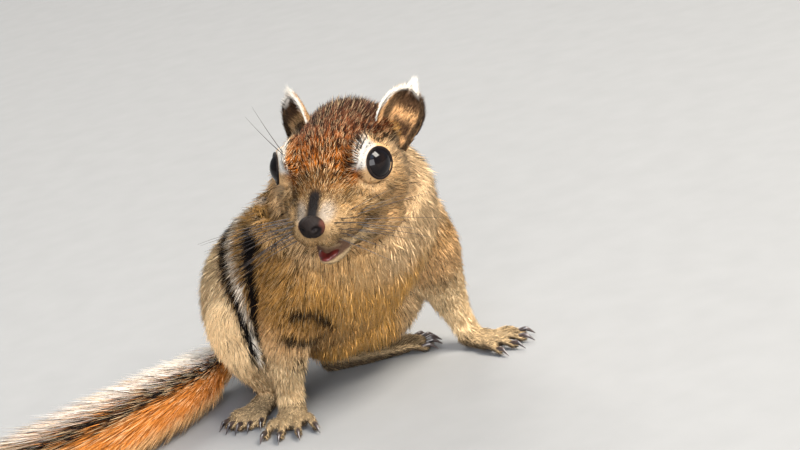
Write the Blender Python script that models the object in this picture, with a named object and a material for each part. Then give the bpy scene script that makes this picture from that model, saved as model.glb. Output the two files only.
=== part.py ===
"""A life-size chipmunk, crouched on the floor with its forefeet set wide, its back
arched and its head turned to its right.

The body faces -Y and its own left side is at +X. Numbers are millimetres in that body
frame until a mesh is made, when they become metres. The coat's depth is part of the
shapes: each surface is where the tips of the fur lie.
"""

import math
import random

import bmesh
import bpy
import numpy as np
from mathutils import Matrix, Vector
from mathutils.bvhtree import BVHTree

MM = 0.001
GAP = 0.32  # clear distance kept between two nodes that touch
FLOOR = 0.0

# Head: where the middle between the eyes lies, and how the head is held
HEAD_AT = (-10.4, -16.6, 62.6)
HEAD_TURN, HEAD_NOD, HEAD_TILT = -56.0, 13.5, 3.7
EYE_R = 4.3
EYE_AT = (9.7, -0.2, 0.2)
EYE_AXIS = (0.86, -0.46, 0.22)
EYE_OPENING_R = 3.65
LID_R = 0.62
EAR_AT = (9.7, 15.4, 0.2)
EAR_LONG, EAR_WIDE, EAR_THICK = 10.2, 11.0, 0.9

# Toes, claws and front teeth
TOE_R = 1.45
CLAW_LONG = 3.2
TOOTH_R = 0.62

# Tail: share of its radius that is core, and its locks of hair
CORE_SHARE = 0.45
TAIL_LOCKS = 97
LOCK_LONG = 18.0
LOCK_WIDE = 4.6
LOCK_THICK = 1.0

VOXEL = 0.5
BODY_TRIANGLES = 3100
HEAD_KEEP = 0.5
MUZZLE_KEEP = 0.5
KEEP_FACTOR = 0.0005
CRUMB = 30.0  # cubic millimetres below which a piece between two cuts is dropped
SEED = 11


def head_frame():
    """The head's own frame: left +X, nose -Y, up +Z, origin midway between the eyes."""
    turn = Matrix.Rotation(math.radians(HEAD_TURN), 4, "Z")
    nod = Matrix.Rotation(math.radians(HEAD_NOD), 4, "X")
    tilt = Matrix.Rotation(math.radians(HEAD_TILT), 4, "Y")
    return Matrix.Translation(HEAD_AT) @ turn @ nod @ tilt


HEAD = head_frame()
BODY = Matrix.Identity(4)


def mirrored(point, side):
    """A point given for the left side, on the left (side 1) or on the right (side -1)."""
    return (point[0] * side, point[1], point[2])


def placed(points, frame=BODY):
    """Points of a frame as body-frame coordinates, in metres."""
    m = np.array(frame)
    return (np.asarray(points, float) @ m[:3, :3].T + m[:3, 3]) * MM


def mesh_object(name, points, faces):
    """A mesh object from points in metres, with its faces turned outwards."""
    mesh = bpy.data.meshes.new(name)
    mesh.from_pydata([tuple(p) for p in points], [], [tuple(int(i) for i in f) for f in faces])
    shell = bmesh.new()
    shell.from_mesh(mesh)
    bmesh.ops.remove_doubles(shell, verts=shell.verts, dist=1e-6)
    bmesh.ops.recalc_face_normals(shell, faces=shell.faces)
    shell.to_mesh(mesh)
    shell.free()
    obj = bpy.data.objects.new(name, mesh)
    bpy.context.scene.collection.objects.link(obj)
    return obj


def smooth_rows(rows, per_span):
    """Rows of numbers passed through by a Catmull-Rom curve, per_span steps between two rows."""
    rows = np.asarray(rows, float)
    ends = np.vstack([2 * rows[0] - rows[1], rows, 2 * rows[-1] - rows[-2]])
    t = np.linspace(0, 1, per_span, endpoint=False)[:, None]
    out = []
    for a, b, c, d in zip(ends, ends[1:], ends[2:], ends[3:]):
        out.append(0.5 * (2 * b + (c - a) * t + (2 * a - 5 * b + 4 * c - d) * t**2 + (3 * b - a - 3 * c + d) * t**3))
    return np.vstack(out + [rows[-1:]])


def loft(name, stations, frame=BODY, up=(0, 0, 1), around=28, per_span=5, flat_ends=False, square=2.0):
    """A tube along stations of (x, y, z, half width, half height): each ring is a
    superellipse across the path, and each end closes in a half dome unless flat."""
    rows = smooth_rows(stations, per_span)
    path, half = rows[:, :3], np.maximum(rows[:, 3:5], 0.15)
    along = np.gradient(path, axis=0)
    along /= np.linalg.norm(along, axis=1)[:, None]
    if not flat_ends:
        dome = np.radians([80, 55, 28])
        first, last = half[0].mean(), half[-1].mean()
        path = np.vstack([path[0] - along[0] * first * np.sin(dome)[:, None], path,
                          path[-1] + along[-1] * last * np.sin(dome[::-1])[:, None]])
        half = np.vstack([half[0] * np.cos(dome)[:, None], half, half[-1] * np.cos(dome[::-1])[:, None]])
        along = np.vstack([along[:1]] * 3 + [along] + [along[-1:]] * 3)
    side = np.cross(along, up)
    side /= np.linalg.norm(side, axis=1)[:, None]
    rise = np.cross(side, along)
    angle = np.linspace(0, 2 * math.pi, around, endpoint=False)
    cos = np.sign(np.cos(angle)) * np.abs(np.cos(angle)) ** (2 / square)
    sin = np.sign(np.sin(angle)) * np.abs(np.sin(angle)) ** (2 / square)
    rings = (path[:, None] + side[:, None] * (half[:, :1] * cos)[..., None]
             + rise[:, None] * (half[:, 1:] * sin)[..., None])
    count = len(path)
    points = np.vstack([rings.reshape(-1, 3), path[:1], path[-1:]])
    first_pole, last_pole = count * around, count * around + 1
    faces = []
    for i in range(count - 1):
        for j in range(around):
            k = (j + 1) % around
            faces.append((i * around + j, i * around + k, (i + 1) * around + k, (i + 1) * around + j))
    for j in range(around):
        k = (j + 1) % around
        faces.append((first_pole, k, j))
        faces.append((last_pole, (count - 1) * around + j, (count - 1) * around + k))
    return mesh_object(name, placed(points, frame), faces)


def ball(name, centre, radii, frame=BODY, turn=(0, 0, 0), segments=24):
    """An ellipsoid with its three radii, turned by Euler angles in degrees."""
    shell = bmesh.new()
    bmesh.ops.create_uvsphere(shell, u_segments=segments, v_segments=segments // 2, radius=1.0)
    own = Matrix.Translation(centre) @ Matrix.Rotation(math.radians(turn[2]), 4, "Z")
    own = own @ Matrix.Rotation(math.radians(turn[1]), 4, "Y") @ Matrix.Rotation(math.radians(turn[0]), 4, "X")
    own = own @ Matrix.Diagonal((*radii, 1.0))
    bmesh.ops.transform(shell, matrix=Matrix(frame) @ own, verts=shell.verts)
    points = np.array([v.co for v in shell.verts])
    faces = [[v.index for v in f.verts] for f in shell.faces]
    shell.free()
    return mesh_object(name, placed(points), faces)


def disc(name, centre, normal, radius, frame=BODY, thick=GAP, sides=28):
    """A thin round plate, which parts what it passes through."""
    shell = bmesh.new()
    bmesh.ops.create_cone(shell, cap_ends=True, segments=sides, radius1=radius, radius2=radius, depth=thick)
    aim = Vector(normal).normalized().to_track_quat("Z", "Y").to_matrix().to_4x4()
    bmesh.ops.transform(shell, matrix=Matrix(frame) @ Matrix.Translation(centre) @ aim, verts=shell.verts)
    points = np.array([v.co for v in shell.verts])
    faces = [[v.index for v in f.verts] for f in shell.faces]
    shell.free()
    return mesh_object(name, placed(points), faces)


def taken(obj):
    """Removes an object that has served as material or as a tool."""
    bpy.data.objects.remove(obj, do_unlink=True)


def evaluated(obj, name):
    """The object as its modifiers leave it, as a new object with none; the old one goes."""
    graph = bpy.context.evaluated_depsgraph_get()
    mesh = bpy.data.meshes.new_from_object(obj.evaluated_get(graph), depsgraph=graph)
    made = bpy.data.objects.new(name, mesh)
    bpy.context.scene.collection.objects.link(made)
    taken(obj)
    made.name = name
    return made


def joined(name, objects):
    """Several objects as one mesh, still overlapping."""
    points, faces, start = [], [], 0
    for obj in objects:
        points += [obj.matrix_world @ v.co for v in obj.data.vertices]
        faces += [[start + i for i in f.vertices] for f in obj.data.polygons]
        start = len(points)
        taken(obj)
    mesh = bpy.data.meshes.new(name)
    mesh.from_pydata([tuple(p) for p in points], [], faces)
    obj = bpy.data.objects.new(name, mesh)
    bpy.context.scene.collection.objects.link(obj)
    return obj


def fused(name, objects, voxel=VOXEL, rounds=8):
    """Overlapping shapes grown together into one skin, with the creases between them eased."""
    obj = joined(name, objects)
    remesh = obj.modifiers.new("Fuse", "REMESH")
    remesh.mode = "VOXEL"
    remesh.voxel_size = voxel * MM
    ease = obj.modifiers.new("Ease", "SMOOTH")
    ease.factor = 0.5
    ease.iterations = rounds
    return evaluated(obj, name)


def boolean(obj, tools, operation, solver="EXACT"):
    """One Boolean of obj with a collection of tools, which are then removed."""
    box = bpy.data.collections.new("Tools")
    bpy.context.scene.collection.children.link(box)
    for tool in tools:
        for home in list(tool.users_collection):
            home.objects.unlink(tool)
        box.objects.link(tool)
    cut = obj.modifiers.new("Join", "BOOLEAN")
    cut.operation = operation
    cut.solver = solver
    cut.operand_type = "COLLECTION"
    cut.collection = box
    name = obj.name
    made = evaluated(obj, name)
    for tool in list(box.objects):
        taken(tool)
    bpy.data.collections.remove(box)
    return made


# Driving stations of the trunk: x, y, z, half width, half height
TRUNK = (
    (-12.0, 45.5, 8.0, 4.4, 4.4),
    (-10.5, 41.0, 16.0, 11.2, 11.0),
    (-8.0, 33.5, 24.0, 16.2, 16.5),
    (-4.5, 24.5, 28.5, 19.0, 20.0),
    (-1.5, 15.0, 32.0, 19.0, 20.0),
    (1.2, 7.1, 38.0, 19.6, 20.9),
    (2.8, 1.9, 46.0, 21.2, 19.8),
    (1.4, -0.6, 52.8, 18.4, 17.2),
    (-0.6, -4.5, 57.0, 13.5, 14.2),
)

# The two rounds of the belly: middle and radii
BELLY = (((0.0, 18.5, 19.6), (12.6, 14.5, 12.5)), ((9.5, 15.5, 17.0), (13.2, 12.0, 10.5)))

# Stations of the skull and muzzle in the head's frame: y, z, half width, half height
SKULL = (
    (-18.6, -4.9, 2.1, 2.0),
    (-17.0, -5.1, 3.5, 3.2),
    (-14.0, -5.4, 4.9, 4.4),
    (-10.5, -5.4, 6.4, 5.8),
    (-6.5, -5.0, 8.2, 7.6),
    (-2.0, -3.6, 10.0, 9.6),
    (3.0, -2.6, 11.6, 10.9),
    (8.5, -2.6, 12.4, 11.2),
    (14.0, -3.2, 11.6, 10.6),
    (18.5, -4.4, 9.0, 8.2),
)
LOWER_JAW = (
    (-12.6, -14.6, 2.2, 1.7),
    (-10.0, -14.4, 4.0, 2.6),
    (-6.0, -13.0, 6.0, 4.0),
    (-1.0, -11.2, 8.0, 5.2),
    (5.0, -9.5, 9.0, 6.0),
)
# The ear's long direction and the way its cup opens, on the left side
EAR_RISES = (0.73, 0.55, 1.0)
EAR_OPENS = (0.45, -0.89, 0.0)

# Profile of the open mouth and of the parting behind the jaw, as (y, z) in the head's frame
MOUTH_PROFILE = ((-23.0, -8.0), (-9.3, -12.55), (-4.0, -23.0), (-4.35, -23.15), (-9.7, -12.9), (-23.0, -15.9))
MOUTH_HALF_WIDE = 13.0
NOSTRIL_AT = (1.5, -19.1, -4.9)


def head_solids():
    """The skull, muzzle, cheeks and whisker pads as overlapping shapes."""
    pieces = [loft("skull", [(0, *row) for row in SKULL], HEAD, around=36)]
    pieces.append(loft("lower_jaw", [(0, *row) for row in LOWER_JAW], HEAD))
    pieces.append(ball("nose", (0, -17.0, -5.2), (2.9, 2.7, 2.6), HEAD))
    for side in (1, -1):
        pieces.append(ball("cheek", (7.4 * side, -0.5, -7.0), (5.4, 8.6, 6.2), HEAD))
        pieces.append(ball("jowl", (8.8 * side, 6.5, -7.5), (6.0, 8.5, 7.5), HEAD))
        pieces.append(ball("whisker_pad", (3.1 * side, -13.4, -7.2), (3.4, 4.6, 3.4), HEAD))
        pieces.append(ball("brow", (7.4 * side, 0.5, 2.6), (4.4, 6.6, 4.4), HEAD))
    return pieces


# Forelegs from the shoulder to the wrist: x, y, z, half width, half depth
ARM = {
    -1: ((-11.0, 2.0, 38.0, 8.0, 9.5), (-15.0, 4.5, 30.0, 8.0, 9.0), (-17.5, 8.0, 22.0, 6.8, 7.0),
         (-18.3, 10.3, 14.5, 5.4, 5.2), (-18.6, 11.6, 8.5, 4.1, 3.9), (-18.8, 11.8, 4.8, 3.7, 3.0)),
    1: ((17.5, 3.0, 38.5, 9.5, 10.0), (21.5, 4.0, 29.5, 9.0, 9.2), (25.5, 7.0, 21.0, 7.0, 7.2),
        (27.8, 8.0, 13.8, 5.4, 5.4), (29.2, 7.2, 8.0, 4.0, 3.9), (29.8, 6.0, 4.8, 3.6, 3.0)),
}
HAND_TURN = {-1: -38.0, 1: 24.0}

# Thighs from the hip to the knee, and shanks from the knee to the heel
LEG = {
    -1: ((-12.5, 36.0, 20.5, 8.5, 12.0), (-17.0, 29.5, 20.5, 9.4, 12.2), (-20.6, 24.5, 18.5, 7.8, 11.2),
         (-22.0, 21.5, 15.8, 5.8, 7.0)),
    1: ((2.0, 40.0, 20.5, 9.0, 12.5), (9.0, 34.0, 20.5, 10.5, 13.2), (16.0, 28.0, 18.0, 10.0, 12.2),
        (21.0, 22.5, 14.8, 8.2, 8.6)),
}
SHANK = {
    -1: ((-22.5, 22.0, 15.5, 5.6, 6.4), (-19.5, 23.0, 9.8, 4.6, 5.2), (-15.0, 25.8, 4.9, 3.6, 3.9)),
    1: ((20.5, 22.5, 13.0, 6.8, 6.6), (14.0, 26.0, 8.6, 5.2, 5.2), (7.0, 28.5, 4.8, 3.6, 3.9)),
}
HEEL = {-1: (-13.0, 27.5), 1: (3.0, 28.0)}
TOES_AT = {-1: (-31.5, 17.0), 1: (27.0, 17.5)}

# Tail: the way of its middle line, and how far its hair reaches from it
TAIL = (
    (-13.0, 47.0, 8.0, 5.0, 5.0),
    (-18.0, 47.0, 7.2, 6.2, 6.2),
    (-25.0, 43.0, 7.0, 7.4, 7.4),
    (-34.0, 38.0, 7.6, 8.6, 8.6),
    (-45.0, 34.0, 8.2, 9.4, 9.4),
    (-58.5, 31.0, 8.6, 10.0, 10.0),
    (-75.0, 29.0, 8.6, 10.0, 10.0),
    (-93.0, 29.5, 8.2, 9.0, 9.0),
    (-108.0, 31.5, 6.4, 5.0, 5.0),
)

# Plates that part two nodes: frame, a point, the way across and a radius
PLATES = {
    "neck_torso": ("body", (3.5, -2.5, 47.0), (0.0, -0.60, 0.80), 27.0),
    "wrist_right": ("body", (-18.7, 11.8, 7.4), (0.05, -0.1, 1.0), 5.6),
    "wrist_left": ("body", (29.3, 6.9, 7.4), (0.05, -0.25, 1.0), 5.8),
}
# Egg-shaped shells that part a limb or the head from the body: frame, middle, radii, turn
SHELLS = {
    "head": ("head", (0.0, 1.0, -4.5), (19.5, 23.5, 17.0), (0, 0, 0)),
    "shoulder_right": ("body", (-16.2, 6.2, 26.6), (12.0, 11.6, 17.4), (20, 17, 0)),
    "shoulder_left": ("body", (23.2, 5.2, 27.2), (12.4, 11.2, 17.2), (9, -28, 0)),
    "leg_right": ("body", (-20.0, 29.4, 17.5), (11.8, 15.6, 16.0), (0, 0, -33)),
    "leg_left": ("body", (14.2, 29.4, 17.0), (13.4, 18.6, 16.2), (0, 0, 49)),
}
ANKLE_HIGH = 6.6  # where the leg's shell is flat below, which parts the foot

# One point inside each node that the body is parted into
NODES = {
    "head": ("head", (0.0, 4.0, 0.0)),
    "lower_jaw": ("head", (0.0, -11.0, -14.8)),
    "neck": ("body", (8.0, -1.0, 51.8)),
    "torso": ("body", (-2.0, 20.0, 30.0)),
    "foreleg_upper_right": ("body", (-16.5, 6.5, 28.0)),
    "foreleg_upper_left": ("body", (21.0, 5.0, 28.0)),
    "foreleg_lower_right": ("body", (-18.5, 11.4, 9.4)),
    "foreleg_lower_left": ("body", (28.6, 7.6, 11.5)),
    "forefoot_right": ("body", (-22.0, 8.0, 2.5)),
    "forefoot_left": ("body", (32.0, 1.0, 2.5)),
    "hindleg_right": ("body", (-18.5, 27.0, 18.0)),
    "hindleg_left": ("body", (14.0, 29.0, 18.0)),
    "hindfoot_right": ("body", (-22.0, 22.0, 2.5)),
    "hindfoot_left": ("body", (15.0, 23.0, 2.5)),
}
FRAMES = {"head": HEAD, "body": BODY}


def paw(at, heading, palm_long, palm_wide, toes, toe_long, spread, name):
    """A palm on the floor with its toes fanned out, and the claws that they end in.
    heading is in degrees from straight ahead, positive to the animal's left."""
    soft, claws = [], []
    heading = math.radians(heading)
    ahead = np.array([math.sin(heading), -math.cos(heading), 0.0])
    across = np.array([math.cos(heading), math.sin(heading), 0.0])
    start = np.array([at[0], at[1], 0.0])

    def spot(forward, sideways, high):
        return start + ahead * forward + across * sideways + (0, 0, high)

    rows = [(*spot(0, 0, 3.3), palm_wide * 0.75, 3.2), (*spot(palm_long * 0.5, 0, 2.2), palm_wide * 0.9, 2.6),
            (*spot(palm_long, 0, 1.7), palm_wide, 2.0)]
    soft.append(loft(name + "_palm", rows, up=(0, 0, 1), around=20))
    for n in range(toes):
        share = n / (toes - 1) * 2 - 1
        out = math.radians(spread * share)
        reach = toe_long * (1 - 0.14 * share**2)
        root = np.array([palm_long - 0.6 - 0.8 * share**2, share * (palm_wide - TOE_R * 0.6)])
        way = np.array([math.cos(out), math.sin(out)])
        knuckle, tip = root + way * reach * 0.45, root + way * reach
        claw_mid, claw_end = tip + way * CLAW_LONG * 0.5, tip + way * CLAW_LONG
        rows = [(*spot(*root, 1.8), TOE_R, TOE_R), (*spot(*knuckle, 2.4), TOE_R * 1.05, TOE_R * 1.05),
                (*spot(*tip, 1.05), TOE_R * 0.85, TOE_R * 0.85)]
        soft.append(loft(f"{name}_toe", rows, around=12, per_span=4))
        rows = [(*spot(*(tip - way * 0.8), 1.7), 0.6, 0.65), (*spot(*claw_mid, 1.7), 0.5, 0.6),
                (*spot(*claw_end, 0.6), 0.27, 0.3)]
        claws.append(loft(f"{name}_claw", rows, flat_ends=True, around=5, per_span=1))
    return soft, claws


def limbs():
    """The four legs and their paws as overlapping shapes, and the claws of all four."""
    soft, claws = [], []
    for side, tag in ((-1, "right"), (1, "left")):
        soft.append(loft(f"arm_{tag}", ARM[side], up=(0, -1, 0)))
        soft.append(loft(f"thigh_{tag}", LEG[side], up=(0, 0, 1)))
        soft.append(loft(f"shank_{tag}", SHANK[side], up=(0, -1, 0)))
        wrist = ARM[side][-1]
        hand = paw(wrist[:2], HAND_TURN[side], 7.0, 4.3, 4, 7.4, 22, f"hand_{tag}")
        heel, toes = np.array(HEEL[side]), np.array(TOES_AT[side])
        way = toes - heel
        heading = math.degrees(math.atan2(way[0], -way[1]))
        foot = paw(heel, heading, np.linalg.norm(way) - 8.0, 3.9, 5, 7.4, 15, f"foot_{tag}")
        soft += hand[0] + foot[0]
        claws += hand[1] + foot[1]
    return soft, claws


def lock(name, root, along, outward, long, wide, thick, bow, twist=0.0):
    """A flat tapered lock of hair from its root along one direction. It bows outward
    between root and tip, so that its tip lies close again; it widens, then runs to a point."""
    along = Vector(along).normalized()
    across = along.cross(Vector(outward)).normalized()
    across.rotate(Matrix.Rotation(twist, 3, along))
    outward = across.cross(along)
    points, steps = [], 3
    for i in range(steps):
        t = i / steps
        middle = Vector(root) + along * (long * t) + outward * (bow * 4 * t * (1 - t))
        half = wide / 2 * (0.75 + 1.0 * t) * (1 - t**2)
        lift = outward * (thick / 2 * (1 - 0.6 * t))
        points += [middle + across * half, middle + lift, middle - across * half, middle - lift]
    points.append(Vector(root) + along * long)
    faces = [(3, 2, 1, 0)]
    for i in range(steps - 1):
        for j in range(4):
            k = (j + 1) % 4
            faces.append((i * 4 + j, i * 4 + k, i * 4 + 4 + k, i * 4 + 4 + j))
    last = (steps - 1) * 4
    faces += [(last + j, last + (j + 1) % 4, steps * 4) for j in range(4)]
    return mesh_object(name, placed([tuple(p) for p in points]), faces)


def ear_grid(side, swell=0.0):
    """The two faces of an ear's cup as grids of points in the head's frame. The half
    width narrows to a rounded tip, and the edges curl forward round the opening."""
    rises = np.array(mirrored(EAR_RISES, side), float)
    rises /= np.linalg.norm(rises)
    opens = np.array(mirrored(EAR_OPENS, side), float)
    opens -= rises * (opens @ rises)
    opens /= np.linalg.norm(opens)
    across = np.cross(rises, opens) * side
    s = np.linspace(-0.34 - swell / EAR_LONG, 1.0 + swell / EAR_LONG, 8)[:, None]
    t = np.linspace(-1, 1, 7)[None, :]
    inside = np.clip(s, 0, 1)
    half = EAR_WIDE / 2 * (0.86 + 0.5 * inside * (1 - inside)) * np.sqrt(1 - 0.975 * inside**2.6) + swell
    most = math.radians(72)
    curl = most * t
    depth = (3.2 - 1.6 * inside) * (1 - np.cos(curl)) / (1 - math.cos(most)) - 1.4 * inside**2
    base = np.array(mirrored(EAR_AT, side), float)

    def face(offset):
        wide = half * np.sin(curl) / math.sin(most) - offset * np.sin(curl * 0.7)
        deep = depth + offset * np.cos(curl * 0.7)
        return base + rises * (EAR_LONG * s)[..., None] + across * wide[..., None] + opens * deep[..., None]

    half_thick = EAR_THICK / 2 + swell
    return face(half_thick), face(-half_thick)


def sheet_between(name, front, back, frame=BODY):
    """A closed body between two grids of points, joined along their borders."""
    rows, cols = front.shape[:2]
    points = np.vstack([front.reshape(-1, 3), back.reshape(-1, 3)])
    half = rows * cols

    def at(i, j, layer):
        return layer * half + i * cols + j

    faces = []
    for i in range(rows - 1):
        for j in range(cols - 1):
            for layer in (0, 1):
                corners = [at(i, j, layer), at(i, j + 1, layer), at(i + 1, j + 1, layer), at(i + 1, j, layer)]
                if layer:
                    corners.reverse()
                faces += [corners[:3], [corners[0], corners[2], corners[3]]]
    border = [(0, j) for j in range(cols)] + [(i, cols - 1) for i in range(1, rows)]
    border += [(rows - 1, j) for j in range(cols - 2, -1, -1)] + [(i, 0) for i in range(rows - 2, 0, -1)]
    for (a, b), (c, d) in zip(border, border[1:] + border[:1]):
        faces += [[at(a, b, 0), at(a, b, 1), at(c, d, 1)], [at(a, b, 0), at(c, d, 1), at(c, d, 0)]]
    return mesh_object(name, placed(points, frame), faces)


def ear_shapes(side, swell=0.0):
    """An ear's cup and the bulb of its root, grown outward by swell when they cut its seat."""
    cup = sheet_between("ear_cup", *ear_grid(side, swell), HEAD)
    root = np.array(mirrored(EAR_AT, side)) + (-0.6 * side, 0.6, -1.2)
    bulb = ball("ear_root", root, (3.0 + swell, 3.8 + swell, 3.4 + swell), HEAD, segments=10)
    return [cup, bulb]


def ear(side, name):
    """An ear with the white tuft that stands on its tip and rear edge."""
    shapes = ear_shapes(side)
    front, back = ear_grid(side)
    chance = random.Random(SEED + side)
    rises = Vector(front[-1, 3] - front[-4, 3]).normalized()
    for n in range(4):
        i, j = (7, 7, 7, 6)[n], (3, 4, 2, 5)[n]
        j = j if side == 1 else 6 - j
        root = Vector((front[i, j] + back[i, j]) / 2) - rises * 1.2
        outward = Vector(back[i, j] - front[i, j]).normalized()
        aim = (rises + outward * 0.3 + Vector((chance.uniform(-0.2, 0.2),) * 3)).normalized()
        shapes.append(lock("ear_tuft", HEAD @ root, HEAD.to_3x3() @ aim, HEAD.to_3x3() @ outward,
                           3.6 - 0.2 * n, 2.4, 0.7, 0.25))
    return united(name, shapes)


def eyelid(side):
    """A ring of skin round the opening of the eye."""
    axis = Vector(mirrored(EYE_AXIS, side)).normalized()
    centre = Vector(mirrored(EYE_AT, side)) + axis * math.sqrt(EYE_R**2 - EYE_OPENING_R**2)
    own = Matrix.Translation(centre) @ axis.to_track_quat("Z", "Y").to_matrix().to_4x4()
    points, faces = [], []
    around, tube = 22, 6
    for i in range(around):
        a = 2 * math.pi * i / around
        for j in range(tube):
            b = 2 * math.pi * j / tube
            r = EYE_OPENING_R + LID_R * (0.7 + math.cos(b))
            spot = Vector((r * math.cos(a), r * math.sin(a), LID_R * 1.1 * math.sin(b) - 0.25))
            points.append(tuple(own @ spot))
            k, m = (i + 1) % around, (j + 1) % tube
            faces.append((i * tube + j, k * tube + j, k * tube + m, i * tube + m))
    return mesh_object("eyelid", placed(points, HEAD), faces)


def teeth():
    """The two upper front teeth, rooted in the head above the open mouth."""
    made = []
    for side in (-1, 1):
        rows = [(side * TOOTH_R, -14.2, -9.6, TOOTH_R * 0.9, 0.5), (side * TOOTH_R, -15.2, -11.4, TOOTH_R * 0.9, 0.5),
                (side * TOOTH_R, -15.1, -12.7, TOOTH_R * 0.75, 0.25)]
        made.append(loft("tooth", rows, HEAD, up=(0, 1, 0), around=6, per_span=1, flat_ends=True))
    return made


def tongue():
    """The tongue, rooted in the floor of the open mouth."""
    return ball("tongue", (0.0, -12.6, -13.9), (1.8, 2.2, 0.9), HEAD, segments=10)


def tail():
    """The tail: a core along its middle line and flat locks of hair that lie along it."""
    rows = smooth_rows(TAIL, 8)
    slim = [(*row[:3], row[3] * CORE_SHARE, row[4] * CORE_SHARE) for row in TAIL[:-1]]
    shapes = [loft("tail_core", slim, flat_ends=True, around=12, per_span=2)]
    chance = random.Random(SEED)
    along = np.gradient(rows[:, :3], axis=0)
    along /= np.linalg.norm(along, axis=1)[:, None]
    length = np.concatenate([[0], np.cumsum(np.linalg.norm(np.diff(rows[:, :3], axis=0), axis=1))])
    last = length[-1] - 10.0
    for n in range(TAIL_LOCKS):
        s = 1.0 + last * (n + chance.uniform(0.0, 0.9)) / TAIL_LOCKS
        long = LOCK_LONG * min(1.0, 0.6 + s / 60) * chance.uniform(0.85, 1.1)
        i = int(np.searchsorted(length, s))
        j = int(min(np.searchsorted(length, s + long), len(rows) - 1))
        middle, reach = Vector(rows[i, :3]), rows[i, 3]
        angle = n * 2.39996 + chance.uniform(-0.3, 0.3)
        ends = []
        for k, share in ((i, CORE_SHARE - 0.1), (j, chance.uniform(0.88, 1.0))):
            side = Vector(along[k]).cross(Vector((0, 0, 1))).normalized()
            outward = side * math.cos(angle) + side.cross(Vector(along[k])).normalized() * math.sin(angle)
            ends.append(Vector(rows[k, :3]) + outward * rows[k, 3] * share)
        run = ends[1] - ends[0]
        bow = 0.08 * run.length
        shapes.append(lock("tail_lock", ends[0], run, outward, run.length,
                           LOCK_WIDE * chance.uniform(0.8, 1.1), LOCK_THICK, bow, chance.uniform(-0.25, 0.25)))
    return united("tail", shapes)


def egg_shell(frame, centre, radii, turn, flat_at=None):
    """A thin shell between two ellipsoids, with a flat bottom where one is asked for. Its
    outer skin faces out and its inner skin in."""
    outer = ball("egg", centre, radii, FRAMES[frame], turn, segments=16)
    inner = ball("egg_inside", centre, [r - GAP for r in radii], FRAMES[frame], turn, segments=16)
    for egg, side in ((outer, -1), (inner, 1)):
        for v in egg.data.vertices:
            if flat_at is not None:
                v.co.z = max(v.co.z, (flat_at + side * GAP / 2) * MM)
    for face in inner.data.polygons:
        face.flip()
    return joined("egg_shell", [outer, inner])


def mouth_cutter():
    """A prism across the head with the mouth's profile."""
    count = len(MOUTH_PROFILE)
    points = [(x, y, z) for x in (-MOUTH_HALF_WIDE, MOUTH_HALF_WIDE) for y, z in MOUTH_PROFILE]
    faces = [tuple(range(count)), tuple(range(2 * count - 1, count - 1, -1))]
    faces += [(j, j + count, (j + 1) % count + count, (j + 1) % count) for j in range(count)]
    return mesh_object("mouth", placed(points, HEAD), faces)


def floor_cutter():
    """A block under the floor level, which leaves a small flat under each foot."""
    shell = bmesh.new()
    bmesh.ops.create_cube(shell, size=1.0)
    bmesh.ops.scale(shell, vec=(260, 200, 20), verts=shell.verts)
    bmesh.ops.translate(shell, vec=(-20, 10, -10 + FLOOR), verts=shell.verts)
    points = [tuple(v.co) for v in shell.verts]
    faces = [[v.index for v in f.verts] for f in shell.faces]
    shell.free()
    return mesh_object("floor", placed(points), faces)


def tail_room():
    """The space of the tail where it lies against the rump, grown by the gap."""
    rows = [(*row[:3], row[3] + 2 * GAP, row[4] + 2 * GAP) for row in TAIL[:5]]
    start, second = Vector(rows[0][:3]), Vector(rows[1][:3])
    rows[0] = (*(start - (second - start).normalized() * GAP), *rows[0][3:])
    return loft("tail_room", rows, flat_ends=True, around=24)


def body_cutters():
    """All that is cut from the body at once: partings, mouth, nostrils, sockets and floor."""
    tools = [floor_cutter(), mouth_cutter(), tail_room()]
    tools += [disc(name, point, way, radius, FRAMES[frame]) for name, (frame, point, way, radius) in PLATES.items()]
    tools += [egg_shell(*values, ANKLE_HIGH if name.startswith("leg") else None) for name, values in SHELLS.items()]
    for side in (-1, 1):
        tools.append(ball("nostril", mirrored(NOSTRIL_AT, side), (0.75, 1.2, 0.6), HEAD, segments=12))
        tools.append(ball("socket", mirrored(EYE_AT, side), (EYE_R + GAP,) * 3, HEAD, segments=18))
        tools += ear_shapes(side, GAP)
    return tools


def thinned(obj, triangles):
    """The same shape with fewer triangles; small forms on the head and feet keep more."""
    obj.data.transform(Matrix.Scale(1 / MM, 4))
    group = obj.vertex_groups.new(name="Spare")
    to_head = HEAD.inverted()
    for v in obj.data.vertices:
        local = to_head @ v.co
        head = math.exp(-(Vector((local.x, local.y + 1, local.z + 3)).length / 20) ** 6)
        muzzle = math.exp(-(Vector((local.x, local.y + 12, local.z + 8)).length / 8) ** 4)
        group.add([v.index], 1.0 - HEAD_KEEP * head - MUZZLE_KEEP * muzzle, "REPLACE")
    thin = obj.modifiers.new("Thin", "DECIMATE")
    thin.ratio = triangles / (2 * len(obj.data.polygons))
    thin.vertex_group = "Spare"
    thin.vertex_group_factor = KEEP_FACTOR
    made = evaluated(obj, obj.name)
    made.data.transform(Matrix.Scale(MM, 4))
    return made


def united(name, shapes):
    """Overlapping closed shapes as one closed body."""
    first = shapes[0]
    first.name = name
    made = boolean(first, shapes[1:], "UNION")
    return largest(made, name)


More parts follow.
